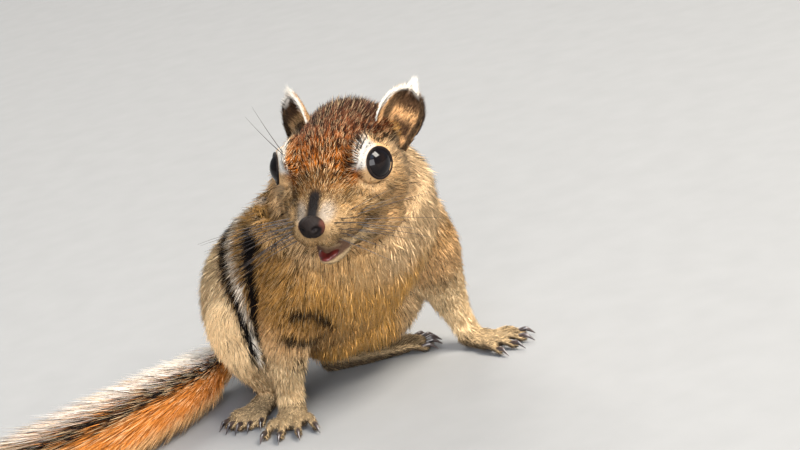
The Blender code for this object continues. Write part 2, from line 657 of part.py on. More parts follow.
def bodies_of(obj):
    """The separate closed surfaces of a mesh, each as a new object; the old one goes."""
    shell = bmesh.new()
    shell.from_mesh(obj.data)
    bmesh.ops.triangulate(shell, faces=shell.faces)
    shell.verts.ensure_lookup_table()
    seen, islands = set(), []
    for v in shell.verts:
        if v.index in seen:
            continue
        stack, island = [v], []
        seen.add(v.index)
        while stack:
            here = stack.pop()
            island.append(here)
            for edge in here.link_edges:
                other = edge.other_vert(here)
                if other.index not in seen:
                    seen.add(other.index)
                    stack.append(other)
        islands.append(island)
    made = []
    for island in islands:
        number = {v.index: n for n, v in enumerate(island)}
        faces = {f for v in island for f in v.link_faces}
        mesh = bpy.data.meshes.new(obj.name)
        mesh.from_pydata([tuple(v.co) for v in island], [], [[number[v.index] for v in f.verts]
                                                             for f in sorted(faces, key=lambda f: f.index)])
        piece = bpy.data.objects.new(obj.name, mesh)
        bpy.context.scene.collection.objects.link(piece)
        made.append(piece)
    shell.free()
    taken(obj)
    return made


def volume(obj):
    shell = bmesh.new()
    shell.from_mesh(obj.data)
    size = shell.calc_volume(signed=True) / MM**3
    shell.free()
    return size


def largest(obj, name):
    """The object's largest closed surface alone."""
    pieces = sorted(bodies_of(obj), key=volume)
    for piece in pieces[:-1]:
        taken(piece)
    pieces[-1].name = name
    return pieces[-1]


def holds(piece, target):
    """Whether a point lies inside a closed piece: most rays from it cross an odd number of faces."""
    tree = BVHTree.FromPolygons([v.co for v in piece.data.vertices], [p.vertices for p in piece.data.polygons])
    votes = 0
    for way in (Vector((0.31, 0.52, 0.79)), Vector((-0.83, 0.21, 0.51)), Vector((0.47, -0.77, -0.43))):
        count, spot = 0, tree.ray_cast(target, way)[0]
        while spot is not None and count < 99:
            count += 1
            spot = tree.ray_cast(spot + way * 1e-6, way)[0]
        votes += count % 2
    return votes >= 2


def named_parts(body):
    """Names the pieces of the parted body after the nodes whose inside point they hold, and
    drops the crumbs that lie between two cuts."""
    pieces = bodies_of(body)
    solid = [piece for piece in pieces if volume(piece) > CRUMB]
    for name, (frame, point) in NODES.items():
        target = Vector(placed([point], FRAMES[frame])[0])
        for piece in solid:
            if holds(piece, target):
                piece.name = name
    for piece in pieces:
        if piece.name not in NODES:
            taken(piece)


# Materials: base colour and roughness, and the nodes that each is on
MATERIALS = {
    "fur_rust": ((0.38, 0.19, 0.08), 0.9, ("head",)),
    "fur_brown": ((0.34, 0.22, 0.12), 0.9, ("neck", "torso", "ear_right", "ear_left", "foreleg_upper_right",
                                            "foreleg_upper_left")),
    "fur_buff": ((0.62, 0.47, 0.28), 0.9, ("hindleg_right", "hindleg_left", "foreleg_lower_right",
                                           "foreleg_lower_left")),
    "fur_cream": ((0.78, 0.66, 0.48), 0.9, ("lower_jaw", "forefoot_right", "forefoot_left", "hindfoot_right",
                                            "hindfoot_left")),
    "fur_orange": ((0.50, 0.24, 0.08), 0.9, ("tail",)),
    "eye": ((0.012, 0.009, 0.008), 0.08, ("eye_right", "eye_left")),
}


def dressed():
    """A plain material on each node."""
    for slot, (colour, roughness, nodes) in MATERIALS.items():
        material = bpy.data.materials.new(slot)
        material.use_nodes = True
        shader = material.node_tree.nodes["Principled BSDF"]
        shader.inputs["Base Color"].default_value = (*colour, 1.0)
        shader.inputs["Roughness"].default_value = roughness
        for node in nodes:
            bpy.data.objects[node].data.materials.append(material)


def centred():
    """Moves every mesh so that the origin is the middle of the whole box, at floor level."""
    points = np.vstack([[tuple(v.co) for v in obj.data.vertices] for obj in bpy.data.objects])
    middle = (points.min(axis=0) + points.max(axis=0)) / 2
    shift = Matrix.Translation((-middle[0], -middle[1], -points[:, 2].min()))
    for obj in bpy.data.objects:
        obj.data.transform(shift)


def clear_scene():
    for obj in list(bpy.data.objects):
        bpy.data.objects.remove(obj, do_unlink=True)


def main():
    clear_scene()
    soft, claws = limbs()
    soft += [ball("belly", centre, radii) for centre, radii in BELLY]
    body = fused("body", [loft("trunk", TRUNK, up=(0, 1, 0), around=40)] + head_solids() + soft)
    body = thinned(body, BODY_TRIANGLES)
    body = boolean(body, [eyelid(side) for side in (-1, 1)] + claws, "UNION")
    named_parts(boolean(body, body_cutters(), "DIFFERENCE"))
    largest(boolean(bpy.data.objects["head"], teeth(), "UNION"), "head")
    largest(boolean(bpy.data.objects["lower_jaw"], [tongue()], "UNION"), "lower_jaw")
    for side, tag in ((-1, "right"), (1, "left")):
        ball(f"eye_{tag}", mirrored(EYE_AT, side), (EYE_R,) * 3, HEAD, segments=18)
        ear(side, f"ear_{tag}")
    largest(boolean(tail(), [floor_cutter()], "DIFFERENCE"), "tail")
    dressed()
    centred()


main()
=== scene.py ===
"""A chipmunk, crouched with its head turned: one skin under a coat of solid tufts, with
eyes, lids, nose, tongue, ears, claws, whiskers and a bushy tail of their own.

Shapes are worked out in millimetres in the animal's body frame, where it faces -Y and its
own left side is at +X, and are moved to the frame's place in metres as a mesh is made.
"""

import math

import bpy
import numpy as np
from mathutils import Matrix, Vector


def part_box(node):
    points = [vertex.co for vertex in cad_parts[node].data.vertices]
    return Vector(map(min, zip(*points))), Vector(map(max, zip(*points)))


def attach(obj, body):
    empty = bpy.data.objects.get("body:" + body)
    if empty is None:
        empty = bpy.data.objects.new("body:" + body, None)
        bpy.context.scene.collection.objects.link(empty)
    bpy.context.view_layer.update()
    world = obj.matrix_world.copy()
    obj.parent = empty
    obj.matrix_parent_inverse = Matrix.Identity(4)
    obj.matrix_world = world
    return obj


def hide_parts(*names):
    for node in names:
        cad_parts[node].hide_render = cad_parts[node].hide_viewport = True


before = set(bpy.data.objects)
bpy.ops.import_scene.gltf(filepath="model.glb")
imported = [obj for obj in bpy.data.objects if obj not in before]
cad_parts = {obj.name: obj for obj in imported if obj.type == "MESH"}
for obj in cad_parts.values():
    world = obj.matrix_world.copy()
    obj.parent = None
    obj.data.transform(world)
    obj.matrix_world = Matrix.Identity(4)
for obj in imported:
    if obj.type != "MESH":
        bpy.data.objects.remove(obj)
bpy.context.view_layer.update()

MM = 0.001
SIDES = ((1, "left"), (-1, "right"))

# How the head is held, and what it carries
HEAD_AT = (-10.4, -16.6, 62.6)
HEAD_TURN, HEAD_NOD, HEAD_TILT = -56.0, 13.5, 3.7
EYE_R = 4.3
EYE_AT = (9.7, -0.2, 0.2)
EYE_AXIS = (0.86, -0.46, 0.22)
EYE_OPENING = 3.1
EAR_AT = (9.7, 15.4, 0.2)
EAR_LONG, EAR_WIDE, EAR_THICK = 10.2, 11.0, 0.6
EAR_TOP = 0.9
EAR_RISES = (0.73, 0.55, 1.0)
EAR_OPENS = (0.45, -0.89, 0.0)
EAR_BULB_R = (2.1, 3.0, 2.6)
NOSE_AT = (0.0, -17.3, -4.9)
NOSE_R = (3.0, 2.5, 2.5)

# The mouth in the head's frame: its half width, the y of its corner and of its front end, the
# upper edge's z at both, how far it gapes in front, and its droop by x^2, up to a distance
MOUTH_HALF = 5.2
MOUTH_CORNER, MOUTH_FRONT = -9.4, -23.0
MOUTH_CORNER_HIGH, MOUTH_FRONT_HIGH = -13.1, -9.4
MOUTH_GAPE = 6.6
MOUTH_DROOP, MOUTH_DROOP_END = 0.07, 6.0

# Stations of the trunk, from the rump to the neck: x, y, z, half width, half height
TRUNK = (
    (-12.0, 45.5, 8.0, 4.4, 4.4),
    (-10.5, 41.0, 16.0, 11.2, 11.0),
    (-8.0, 33.5, 24.0, 16.2, 16.5),
    (-4.5, 24.5, 28.5, 19.0, 20.0),
    (-1.5, 15.0, 32.0, 19.0, 20.0),
    (1.2, 7.1, 38.0, 19.6, 20.9),
    (2.8, 1.9, 46.0, 21.2, 19.8),
    (1.4, -0.6, 52.8, 18.4, 17.2),
    (-0.6, -4.5, 57.0, 13.5, 14.2),
)

# Stations of the skull and of the lower jaw in the head's frame: y, z, half width, half height
SKULL = (
    (-16.6, -4.9, 2.1, 2.0),
    (-15.4, -5.1, 3.6, 3.3),
    (-13.6, -5.4, 4.9, 4.5),
    (-10.5, -5.4, 6.4, 5.8),
    (-6.5, -5.0, 8.2, 7.6),
    (-2.0, -3.6, 10.0, 9.6),
    (3.0, -2.6, 11.6, 10.9),
    (8.5, -2.6, 12.4, 11.2),
    (14.0, -3.2, 11.6, 10.6),
    (18.5, -4.4, 9.0, 8.2),
)
LOWER_JAW = (
    (-13.4, -15.5, 2.6, 2.1),
    (-10.0, -15.0, 4.4, 3.2),
    (-6.0, -13.0, 6.0, 4.0),
    (-1.0, -11.2, 8.0, 5.2),
    (5.0, -9.5, 9.0, 6.0),
)

# Stations of each foreleg, thigh and shank, on the right (-1) and on the left (1)
ARM = {
    -1: ((-11.0, 2.0, 38.0, 8.0, 9.5), (-15.0, 4.5, 30.0, 8.0, 9.0), (-17.5, 8.0, 22.0, 6.8, 7.0),
         (-18.3, 10.3, 14.5, 5.4, 5.2), (-18.6, 11.6, 8.5, 4.1, 3.9), (-18.8, 11.8, 4.8, 3.7, 3.0)),
    1: ((17.5, 3.0, 38.5, 9.5, 10.0), (21.5, 4.0, 29.5, 9.0, 9.2), (25.5, 7.0, 21.0, 7.0, 7.2),
        (27.8, 8.0, 13.8, 5.4, 5.4), (29.2, 7.2, 8.0, 4.0, 3.9), (29.8, 6.0, 4.8, 3.6, 3.0)),
}
LEG = {
    -1: ((-12.5, 36.0, 20.5, 8.5, 12.0), (-17.0, 29.5, 20.5, 9.4, 12.2), (-20.6, 24.5, 18.5, 7.8, 11.2),
         (-22.0, 21.5, 15.8, 5.8, 7.0)),
    1: ((2.0, 40.0, 20.5, 9.0, 12.5), (9.0, 34.0, 20.5, 10.5, 13.2), (16.0, 28.0, 18.0, 10.0, 12.2),
        (21.0, 22.5, 14.8, 8.2, 8.6)),
}
SHANK = {
    -1: ((-22.5, 22.0, 15.5, 5.6, 6.4), (-19.5, 23.0, 9.8, 4.6, 5.2), (-15.0, 25.8, 4.9, 3.6, 3.9)),
    1: ((20.5, 22.5, 13.0, 6.8, 6.6), (14.0, 26.0, 8.6, 5.2, 5.2), (7.0, 28.5, 4.8, 3.6, 3.9)),
}

# Balls that fill out the head on each side, in its frame: cheek, jaw, whisker pad, lip, lower
# cheek, pouch, side of the muzzle and brow, each with its centre and radii
HEAD_LUMPS = (
    ((7.4, -0.5, -7.0), (5.4, 8.6, 6.2)),
    ((8.8, 6.5, -7.5), (6.0, 8.5, 7.5)),
    ((3.1, -13.4, -7.2), (3.4, 4.6, 3.4)),
    ((2.0, -14.9, -8.8), (2.7, 2.9, 2.8)),
    ((5.5, -1.8, -12.6), (5.4, 6.8, 5.2)),
    ((6.5, 4.0, -15.5), (6.0, 7.0, 5.6)),
    ((5.0, -8.6, -7.6), (4.3, 6.4, 4.8)),
    ((7.4, 0.5, 2.6), (4.4, 6.6, 4.4)),
)

# Balls that fill out the belly: centre and radii
BELLY = (((0.0, 18.5, 19.6), (12.6, 14.5, 12.5)), ((9.5, 15.5, 17.0), (13.2, 12.0, 10.5)))

# How the forefeet turn, in degrees, and where the hind feet start and end, in x and y
HAND_TURN = {-1: -38.0, 1: 24.0}
HEEL = {-1: (-13.0, 27.5), 1: (3.0, 28.0)}
TOES_AT = {-1: (-31.5, 17.0), 1: (27.0, 17.5)}
TOE_R = 1.3
CLAW_LONG = 3.2

# Stations of the tail, from its root to its tip: x, y, z, half width, half height
TAIL = (
    (-13.0, 47.0, 8.0, 5.0, 5.0),
    (-18.0, 47.0, 7.2, 6.2, 6.2),
    (-25.0, 43.0, 7.0, 7.4, 7.4),
    (-34.0, 38.0, 7.6, 8.6, 8.6),
    (-45.0, 34.0, 8.2, 9.4, 9.4),
    (-58.5, 31.0, 8.6, 10.0, 10.0),
    (-75.0, 29.0, 8.6, 10.0, 10.0),
    (-93.0, 29.5, 8.2, 9.0, 9.0),
    (-108.0, 31.5, 6.4, 5.0, 5.0),
)

# The skin's grain in millimetres, its shade against the coat's, and how low pieces may reach
SKIN_VOXEL = 0.52
SKIN_SHADE = 0.62
SKIN_LOW, COAT_LOW, TAIL_LOW = 0.12, 0.1, 0.15

# Hairs of the tail and of each ear, and the numbers that start the draws of each piece
TAIL_HAIRS, TAIL_PIECES = 13600, 3
EAR_HAIRS, EAR_FRINGE, EAR_BULB_HAIRS = 3200, 2000, 900
COAT_SEED, TAIL_SEED, EAR_SEED, WHISKER_SEED = 100, 500, 700, 900


def head_frame():
    """The head's own frame: left +X, nose -Y, up +Z, origin midway between the eyes."""
    turn = Matrix.Rotation(math.radians(HEAD_TURN), 4, "Z")
    nod = Matrix.Rotation(math.radians(HEAD_NOD), 4, "X")
    tilt = Matrix.Rotation(math.radians(HEAD_TILT), 4, "Y")
    return np.array(Matrix.Translation(HEAD_AT) @ turn @ nod @ tilt)


HEAD = head_frame()
BODY = np.eye(4)


def in_frame(points, m):
    """Points p of the frame m as body-frame points: R p + t."""
    return np.asarray(points, float) @ m[:3, :3].T + m[:3, 3]


def to_head(points):
    """Body-frame points p in the head's frame: R transposed times (p - t)."""
    return (points - HEAD[:3, 3]) @ HEAD[:3, :3]


def on_side(point, side):
    """A point given for the left side, on the left (1) or on the right (-1)."""
    return np.array((point[0] * side, point[1], point[2]), float)


# The frame's left eye tells where the body frame's origin lies
EYE_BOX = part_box("eye_left")
SHIFT = np.array((EYE_BOX[0] + EYE_BOX[1]) / 2) / MM - in_frame(EYE_AT, HEAD)


def unit(v):
    """Vectors divided by their length."""
    return v / np.maximum(np.linalg.norm(v, axis=-1, keepdims=True), 1e-9)


def square_to(v, normal):
    """Unit vectors along v - (v . n) n: v without its part along the unit vectors n."""
    return unit(v - normal * (v * normal).sum(1, keepdims=True))


def step(x, low, high):
    """0 below low, 1 above high, and the cubic 3t^2 - 2t^3 between."""
    t = np.clip((x - low) / (high - low), 0, 1)
    return t * t * (3 - 2 * t)


def bump(x, centre, half, soft):
    """1 within half of centre, easing to 0 over soft."""
    return 1 - step(np.abs(x - centre), half, half + soft)


def srgb(r, g, b):
    """A colour given as display values 0 to 255, as linear light."""
    c = np.array((r, g, b), float) / 255
    return np.where(c < 0.04045, c / 12.92, ((c + 0.055) / 1.055) ** 2.4)


def mixed(a, b, t):
    """a + (b - a) t, for colours a and b, one or in rows, and one share a row."""
    return a + (b - a) * np.asarray(t)[..., None]


def smooth_rows(rows, per_span):
    """Rows of numbers passed through by a Catmull-Rom curve: cubic weights of four rows in turn."""
    rows = np.asarray(rows, float)
    ends = np.vstack([2 * rows[0] - rows[1], rows, 2 * rows[-1] - rows[-2]])
    t = np.linspace(0, 1, per_span, endpoint=False)[None, :, None]
    a, b, c, d = (ends[i:len(ends) - 3 + i, None] for i in range(4))
    body = 0.5 * (2 * b + (c - a) * t + (2 * a - 5 * b + 4 * c - d) * t**2 + (3 * b - a - 3 * c + d) * t**3)
    return np.vstack([body.reshape(-1, rows.shape[1]), rows[-1:]])


def grid_faces(rows, cols, wrap=True):
    """Quads of a grid of rows by cols points, closed across the columns where it wraps."""
    i = np.arange(rows - 1)[:, None]
    j = np.arange(cols if wrap else cols - 1)[None, :]
    k = (j + 1) % cols
    corners = (i * cols + j, i * cols + k, (i + 1) * cols + k, (i + 1) * cols + j)
    return np.stack(np.broadcast_arrays(*corners), -1).reshape(-1, 4)


def tube(stations, matrix=BODY, up=(0, 0, 1), around=28, per_span=5):
    """A profile along a path: each ring is path + side w cos a + rise h sin a, and each end
    closes in a half dome, r cos d wide and r sin d further out."""
    rows = smooth_rows(stations, per_span)
    path, half = rows[:, :3], np.maximum(rows[:, 3:5], 0.02)
    along = unit(np.gradient(path, axis=0))
    dome = np.radians([80, 55, 28])[:, None]
    first, last = half[0].mean(), half[-1].mean()
    path = np.vstack([path[0] - along[0] * first * np.sin(dome), path,
                      path[-1] + along[-1] * last * np.sin(dome[::-1])])
    half = np.vstack([half[0] * np.cos(dome), half, half[-1] * np.cos(dome[::-1])])
    along = np.vstack([along[:1]] * 3 + [along] + [along[-1:]] * 3)
    side = unit(np.cross(along, up))
    rise = np.cross(side, along)
    a = np.linspace(0, 2 * np.pi, around, endpoint=False)[None, :, None]
    rings = path[:, None] + side[:, None] * half[:, None, :1] * np.cos(a)
    rings = rings + rise[:, None] * half[:, None, 1:] * np.sin(a)
    count = len(path)
    points = np.vstack([rings.reshape(-1, 3), path[:1], path[-1:]])
    j = np.arange(around)
    k = (j + 1) % around
    end = (count - 1) * around
    first_cap = np.stack([np.full(around, count * around), k, j], -1)
    last_cap = np.stack([np.full(around, count * around + 1), end + j, end + k], -1)
    return in_frame(points, matrix), [grid_faces(count, around), first_cap, last_cap]


def ball(centre, radii, matrix=BODY, around=32):
    """An ellipsoid: centre + radii times (sin v cos u, sin v sin u, cos v)."""
    u = np.linspace(0, 2 * np.pi, around, endpoint=False)[None, :]
    v = np.linspace(0, np.pi, around // 2 + 1)[1:-1, None]
    rings = np.stack(np.broadcast_arrays(np.sin(v) * np.cos(u), np.sin(v) * np.sin(u), np.cos(v)), -1)
    points = np.vstack([rings.reshape(-1, 3), [(0, 0, 1), (0, 0, -1)]]) * radii + centre
    count = around // 2 - 1
    j = np.arange(around)
    k = (j + 1) % around
    end = (count - 1) * around
    top = np.stack([np.full(around, count * around), j, k], -1)
    low = np.stack([np.full(around, count * around + 1), end + k, end + j], -1)
    return in_frame(points, matrix), [grid_faces(count, around), top, low]


def mesh_object(name, points, face_sets):
    """A smooth mesh object from body-frame points and arrays of faces, put in by whole arrays."""
    mesh = bpy.data.meshes.new(name)
    face_sets = [np.asarray(f, np.int32) for f in face_sets if len(f)]
    loops = np.concatenate([f.ravel() for f in face_sets])
    sizes = np.concatenate([np.full(len(f), f.shape[1]) for f in face_sets])
    starts = np.concatenate([[0], np.cumsum(sizes)[:-1]])
    mesh.vertices.add(len(points))
    mesh.vertices.foreach_set("co", ((np.asarray(points) + SHIFT) * MM).astype(np.float32).ravel())
    mesh.loops.add(len(loops))
    mesh.loops.foreach_set("vertex_index", loops.astype(np.int32))
    mesh.polygons.add(len(sizes))
    mesh.polygons.foreach_set("loop_start", starts.astype(np.int32))
    mesh.update(calc_edges=True)
    mesh.shade_smooth()
    obj = bpy.data.objects.new(name, mesh)
    bpy.context.scene.collection.objects.link(obj)
    return obj


def merged(shapes):
    """Several (points, faces) shapes as one, with the faces renumbered."""
    points, faces, start = [], [], 0
    for shape_points, shape_faces in shapes:
        points.append(shape_points)
        faces += [np.asarray(f) + start for f in shape_faces]
        start += len(shape_points)
    return np.vstack(points), faces


def evaluated(obj):
    """The object's mesh as its modifiers leave it, as a new object; the old one goes."""
    graph = bpy.context.evaluated_depsgraph_get()
    mesh = bpy.data.meshes.new_from_object(obj.evaluated_get(graph), depsgraph=graph)
    made = bpy.data.objects.new(obj.name, mesh)
    bpy.context.scene.collection.objects.link(made)
    name = obj.name
    bpy.data.objects.remove(obj, do_unlink=True)
    made.name = name
    return made


def points_of(mesh):
    """A mesh's points in the body frame."""
    co = np.empty(len(mesh.vertices) * 3, np.float32)
    mesh.vertices.foreach_get("co", co)
    return co.reshape(-1, 3).astype(float) / MM - SHIFT


def normals_of(mesh):
    """A mesh's unit normals at its points."""
    n = np.empty(len(mesh.vertices) * 3, np.float32)
    mesh.vertex_normals.foreach_get("vector", n)
    return n.reshape(-1, 3).astype(float)


def put_points(mesh, points):
    """Gives a mesh new places for its points."""
    mesh.vertices.foreach_set("co", ((points + SHIFT) * MM).astype(np.float32).ravel())
    mesh.update()


def kept_above(mesh, least):
    """Lifts a mesh's points to a least height over the floor: z = max(z, least)."""
    points = points_of(mesh)
    points[:, 2] = np.maximum(points[:, 2], least)
    put_points(mesh, points)


def put_colours(mesh, name, colours):
    """A colour at each point of a mesh, under a name that its material reads."""
    layer = mesh.color_attributes.new(name=name, type="FLOAT_COLOR", domain="POINT")
    rgba = np.ones((len(colours), 4), np.float32)
    rgba[:, :3] = np.clip(colours, 0, 1)
    layer.data.foreach_set("color", rgba.ravel())


# Body shapes

def head_shapes():
    """The skull, the lower jaw, the muzzle's end and the lumps on both sides."""
    shapes = [tube([(0, *row) for row in SKULL], HEAD, around=48, per_span=7)]
    shapes.append(tube([(0, *row) for row in LOWER_JAW], HEAD))
    shapes.append(ball((0, -16.0, -5.2), (2.7, 2.4, 2.4), HEAD))
    for side, _ in SIDES:
        shapes += [ball(on_side(centre, side), radii, HEAD) for centre, radii in HEAD_LUMPS]
    return shapes


def paw_plan(at, heading, palm_long, palm_wide, toes, toe_long, spread):
    """Rows of stations of a paw's palm, toes and claws, fanned round the heading, which is
    in degrees from straight ahead and positive to the animal's left."""
    heading = math.radians(heading)
    ahead = np.array([math.sin(heading), -math.cos(heading), 0.0])
    across = np.array([math.cos(heading), math.sin(heading), 0.0])
    start = np.array([at[0], at[1], 0.0])

    def spot(forward, sideways, high):
        """The point so far forward, sideways and high from the paw's start."""
        return start + ahead * forward + across * sideways + (0, 0, high)

    palm = [
        (*spot(0, 0, 3.3), palm_wide * 0.75, 3.2),
        (*spot(palm_long * 0.5, 0, 2.2), palm_wide * 0.9, 2.6),
        (*spot(palm_long, 0, 1.7), palm_wide, 2.0),
    ]
    toe_rows, claw_rows = [], []
    for n in range(toes):
        share = n / (toes - 1) * 2 - 1
        out = math.radians(spread * share)
        reach = toe_long * (1 - 0.14 * share**2)
        root = np.array([palm_long - 0.6 - 0.8 * share**2, share * (palm_wide - TOE_R * 0.6)])
        way = np.array([math.cos(out), math.sin(out)])
        knuckle, tip = root + way * reach * 0.45, root + way * reach
        middle, end = tip + way * CLAW_LONG * 0.55, tip + way * CLAW_LONG
        toe_rows.append([
            (*spot(*root, 1.8), TOE_R, TOE_R),
            (*spot(*knuckle, 2.4), TOE_R * 1.05, TOE_R * 1.05),
            (*spot(*tip, 1.05), TOE_R * 0.85, TOE_R * 0.85),
        ])
        claw_rows.append([
            (*spot(*(tip - way * 0.6), 1.65), 0.5, 0.62),
            (*spot(*(tip + way * 0.9), 1.95), 0.48, 0.62),
            (*spot(*middle, 1.6), 0.36, 0.46),
            (*spot(*end, 0.45), 0.06, 0.08),
        ])
    return palm, toe_rows, claw_rows


def paw_plans():
    """The plans of the four paws by name."""
    plans = {}
    for side, tag in SIDES:
        wrist = ARM[side][-1]
        plans[f"fore_{tag}"] = paw_plan(wrist[:2], HAND_TURN[side], 7.0, 4.3, 4, 7.4, 22)
        heel, toes = np.array(HEEL[side]), np.array(TOES_AT[side])
        way = toes - heel
        heading = math.degrees(math.atan2(way[0], -way[1]))
        plans[f"hind_{tag}"] = paw_plan(heel, heading, np.linalg.norm(way) - 8.0, 3.9, 5, 7.4, 15)
    return plans


PAWS = paw_plans()


def limb_shapes():
    """The four legs with their palms and toes."""
    shapes = []
    for side, _ in SIDES:
        shapes.append(tube(ARM[side], up=(0, -1, 0)))
        shapes.append(tube(LEG[side]))
        shapes.append(tube(SHANK[side], up=(0, -1, 0)))
    for palm, toes, _ in PAWS.values():
        shapes.append(tube(palm, around=24))
        shapes += [tube(rows, around=16, per_span=5) for rows in toes]
    return shapes


def body_ways():
    """The ways through the body: each a name, its stations and the way up across it."""
    ways = [("trunk", smooth_rows(TRUNK, 6), (0, 1, 0))]
    for side, tag in SIDES:
        ways.append((f"arm_{tag}", smooth_rows(ARM[side], 6), (0, -1, 0)))
        ways.append((f"thigh_{tag}", smooth_rows(LEG[side], 6), (0, 0, 1)))
        ways.append((f"shank_{tag}", smooth_rows(SHANK[side], 6), (0, -1, 0)))
    for name, (palm, toes, _) in PAWS.items():
        rows = [*palm, (*toes[len(toes) // 2][-1][:3], 4.0, 2.0)]
        ways.append((name, smooth_rows(rows, 4), (0, 0, 1)))
    return ways


WAYS = body_ways()


class Places:
    """Where points lie on the body: in the head's frame, how strongly they belong to the
    head and to each way, and along and round each way."""

    def __init__(self, points):
        """Finds the nearest station of each way for all points at once."""
        self.p = points
        self.h = to_head(points)
        x, y, z = self.h.T
        egg = np.sqrt((x / 19.5) ** 2 + ((y - 1) / 23.5) ** 2 + ((z + 4.5) / 17) ** 2)
        self.head = 1 - step(egg, 0.93, 1.08)
        self.near, self.along, self.round, self.flow = {}, {}, {}, {}
        for name, rows, up in WAYS:
            path, half = rows[:, :3], rows[:, 3:5]
            tangent = unit(np.gradient(path, axis=0))
            side = unit(np.cross(tangent, up))
            rise = np.cross(side, tangent)
            best = np.full(len(points), 1e9)
            index = np.zeros(len(points), int)
            for k in range(len(path)):
                d = points - path[k]
                reach = np.sqrt((d @ side[k] / half[k, 0]) ** 2 + (d @ rise[k] / half[k, 1]) ** 2
                                + (d @ tangent[k] / half[k].mean()) ** 2)
                closer = reach < best
                best[closer] = reach[closer]
                index[closer] = k
            d = points - path[index]
            spacing = np.linalg.norm(np.gradient(path, axis=0), axis=1)
            ahead = (d * tangent[index]).sum(1) / spacing[index]
            self.near[name] = best
            self.along[name] = np.clip((index + np.clip(ahead, -0.6, 0.6)) / (len(path) - 1), 0, 1)
            self.round[name] = np.arctan2((d * side[index]).sum(1), (d * rise[index]).sum(1))
            self.flow[name] = tangent[index]

    def pull(self, name):
        """A way's weight at points: exp(-5 (d - 0.9)), with d by how near it is."""
        return np.exp(-5.0 * (self.near[name] - 0.9))

    def share(self, *names):
        """How strongly points belong to the named ways, 0 to 1, by the weights of all."""
        total = np.full(len(self.p), 1e-6)
        mine = np.zeros(len(self.p))
        for name in self.near:
            weight = self.pull(name)
            total += weight
            if name in names:
                mine += weight
        return mine / total * (1 - self.head)

    def spine_angle(self):
        """The angle round the trunk from the spine, in degrees."""
        return np.degrees(np.abs(self.round["trunk"]))


def eye_ring(h, side):
    """How far points of the head's frame lie from an eye's axis, the way out from it, and
    how far along it from the eye's middle."""
    axis = unit(on_side(EYE_AXIS, side))
    d = h - on_side(EYE_AT, side)
    ahead = d @ axis
    off = d - axis * ahead[:, None]
    return np.linalg.norm(off, axis=1), unit(off), ahead


def lie_of(places, normals):
    """The way that the coat lies at points: backwards over the head and away from the eyes,
    towards the rump along the trunk, and down each limb, laid into the skin."""
    x, y, z = places.h.T
    climb = 0.15 * step(z, 2, 7) - 0.45 * step(-z, 1, 8)
    back = np.stack([0.035 * x, np.ones_like(x), climb], -1)
    near_nose = np.exp(-((y + 17) / 4.5) ** 2)[:, None]
    spread = unit(places.h - np.array(NOSE_AT) * (1, 0.9, 1))
    back = back * (1 - near_nose) + spread * near_nose * 1.4
    for side, _ in SIDES:
        r, out, ahead = eye_ring(places.h, side)
        share = ((1 - step(r, 5.2, 8.5)) * (ahead > -1.5))[:, None]
        back = back * (1 - 0.8 * share) + out * 1.1 * share
    flow = back @ HEAD[:3, :3].T * places.head[:, None]
    down = np.array([0, 0, -1.0])
    total = np.zeros_like(flow)
    for name in places.near:
        way = places.flow[name]
        if name == "trunk":
            flank = np.sin(places.round[name])[:, None] ** 2
            under = step(-np.cos(places.round[name]), 0.1, 0.7)[:, None]
            way = -way * (1 - 0.75 * under) + down * (0.25 + 0.35 * flank + 0.5 * under)
        total += places.pull(name)[:, None] * way
    flow += unit(total) * (1 - places.head[:, None])
    return square_to(flow, normals)


def mouth_heights(h):
    """How far points of the head's frame lie above the mouth's upper plane, and below its
    lower plane: their y and z from the front end of each, times the plane's normal. Both
    planes droop to the sides as the mouth does."""
    y = h[:, 1] - MOUTH_FRONT
    z = h[:, 2] + MOUTH_DROOP * np.minimum(h[:, 0] ** 2, MOUTH_DROOP_END**2)
    above = y * 0.262 + (z - MOUTH_FRONT_HIGH) * 0.965
    below = y * 0.188 - (z - (MOUTH_FRONT_HIGH - MOUTH_GAPE)) * 0.982
    return above, below


def depth_of(places):
    """How deep the coat is, from its tips to the skin, in millimetres."""
    x, y, z = places.h.T
    cheek = 0.3 * step(np.abs(x), 7, 12) * step(-z, 2, 8) * step(y, -9, -3)
    head = 0.75 - 0.42 * step(-y, 6, 13) + cheek + 0.75 * step(y, 4, 13)
    body = (1.6 * places.share("trunk")
            + 1.15 * places.share("arm_left", "arm_right")
            + 1.5 * places.share("thigh_left", "thigh_right")
            + 0.9 * places.share("shank_left", "shank_right")
            + 0.35 * places.share(*PAWS))
    body = np.where(places.p[:, 2] < 6, np.minimum(body, 0.3 + places.p[:, 2] * 0.1), body)
    return np.maximum(head * places.head + body, 0.25)


# Markings

RUST = srgb(118, 64, 33)
AMBER = srgb(140, 75, 15)
RUST_DARK = srgb(80, 58, 45)
TAWNY = srgb(218, 174, 122)
GOLD = srgb(138, 105, 64)
CREAM = srgb(244, 212, 164)
WHITE = srgb(212, 205, 194)
BUFF = srgb(226, 184, 132)
OCHRE = srgb(228, 172, 94)
OLIVE = srgb(158, 116, 62)
GRIZZLE = srgb(176, 152, 128)
GREY = srgb(200, 184, 162)
BLACK = srgb(21, 16, 14)
SEAL = srgb(42, 31, 25)
PAW = srgb(156, 132, 98)
PINK_BROWN = srgb(72, 35, 30)
LEG_CREAM = BUFF + (CREAM - BUFF) * 0.75

# Where down a foreleg olive turns to tawny, and tawny to cream, as shares of its length; the cream is
# partly painted light, and the left foreleg, on the side the key light falls on, pales sooner as painted
# light
ARM_FADES = {"left": ((0.05, 0.2), (0.2, 0.45)), "right": ((0.24, 0.42), (0.36, 0.6))}


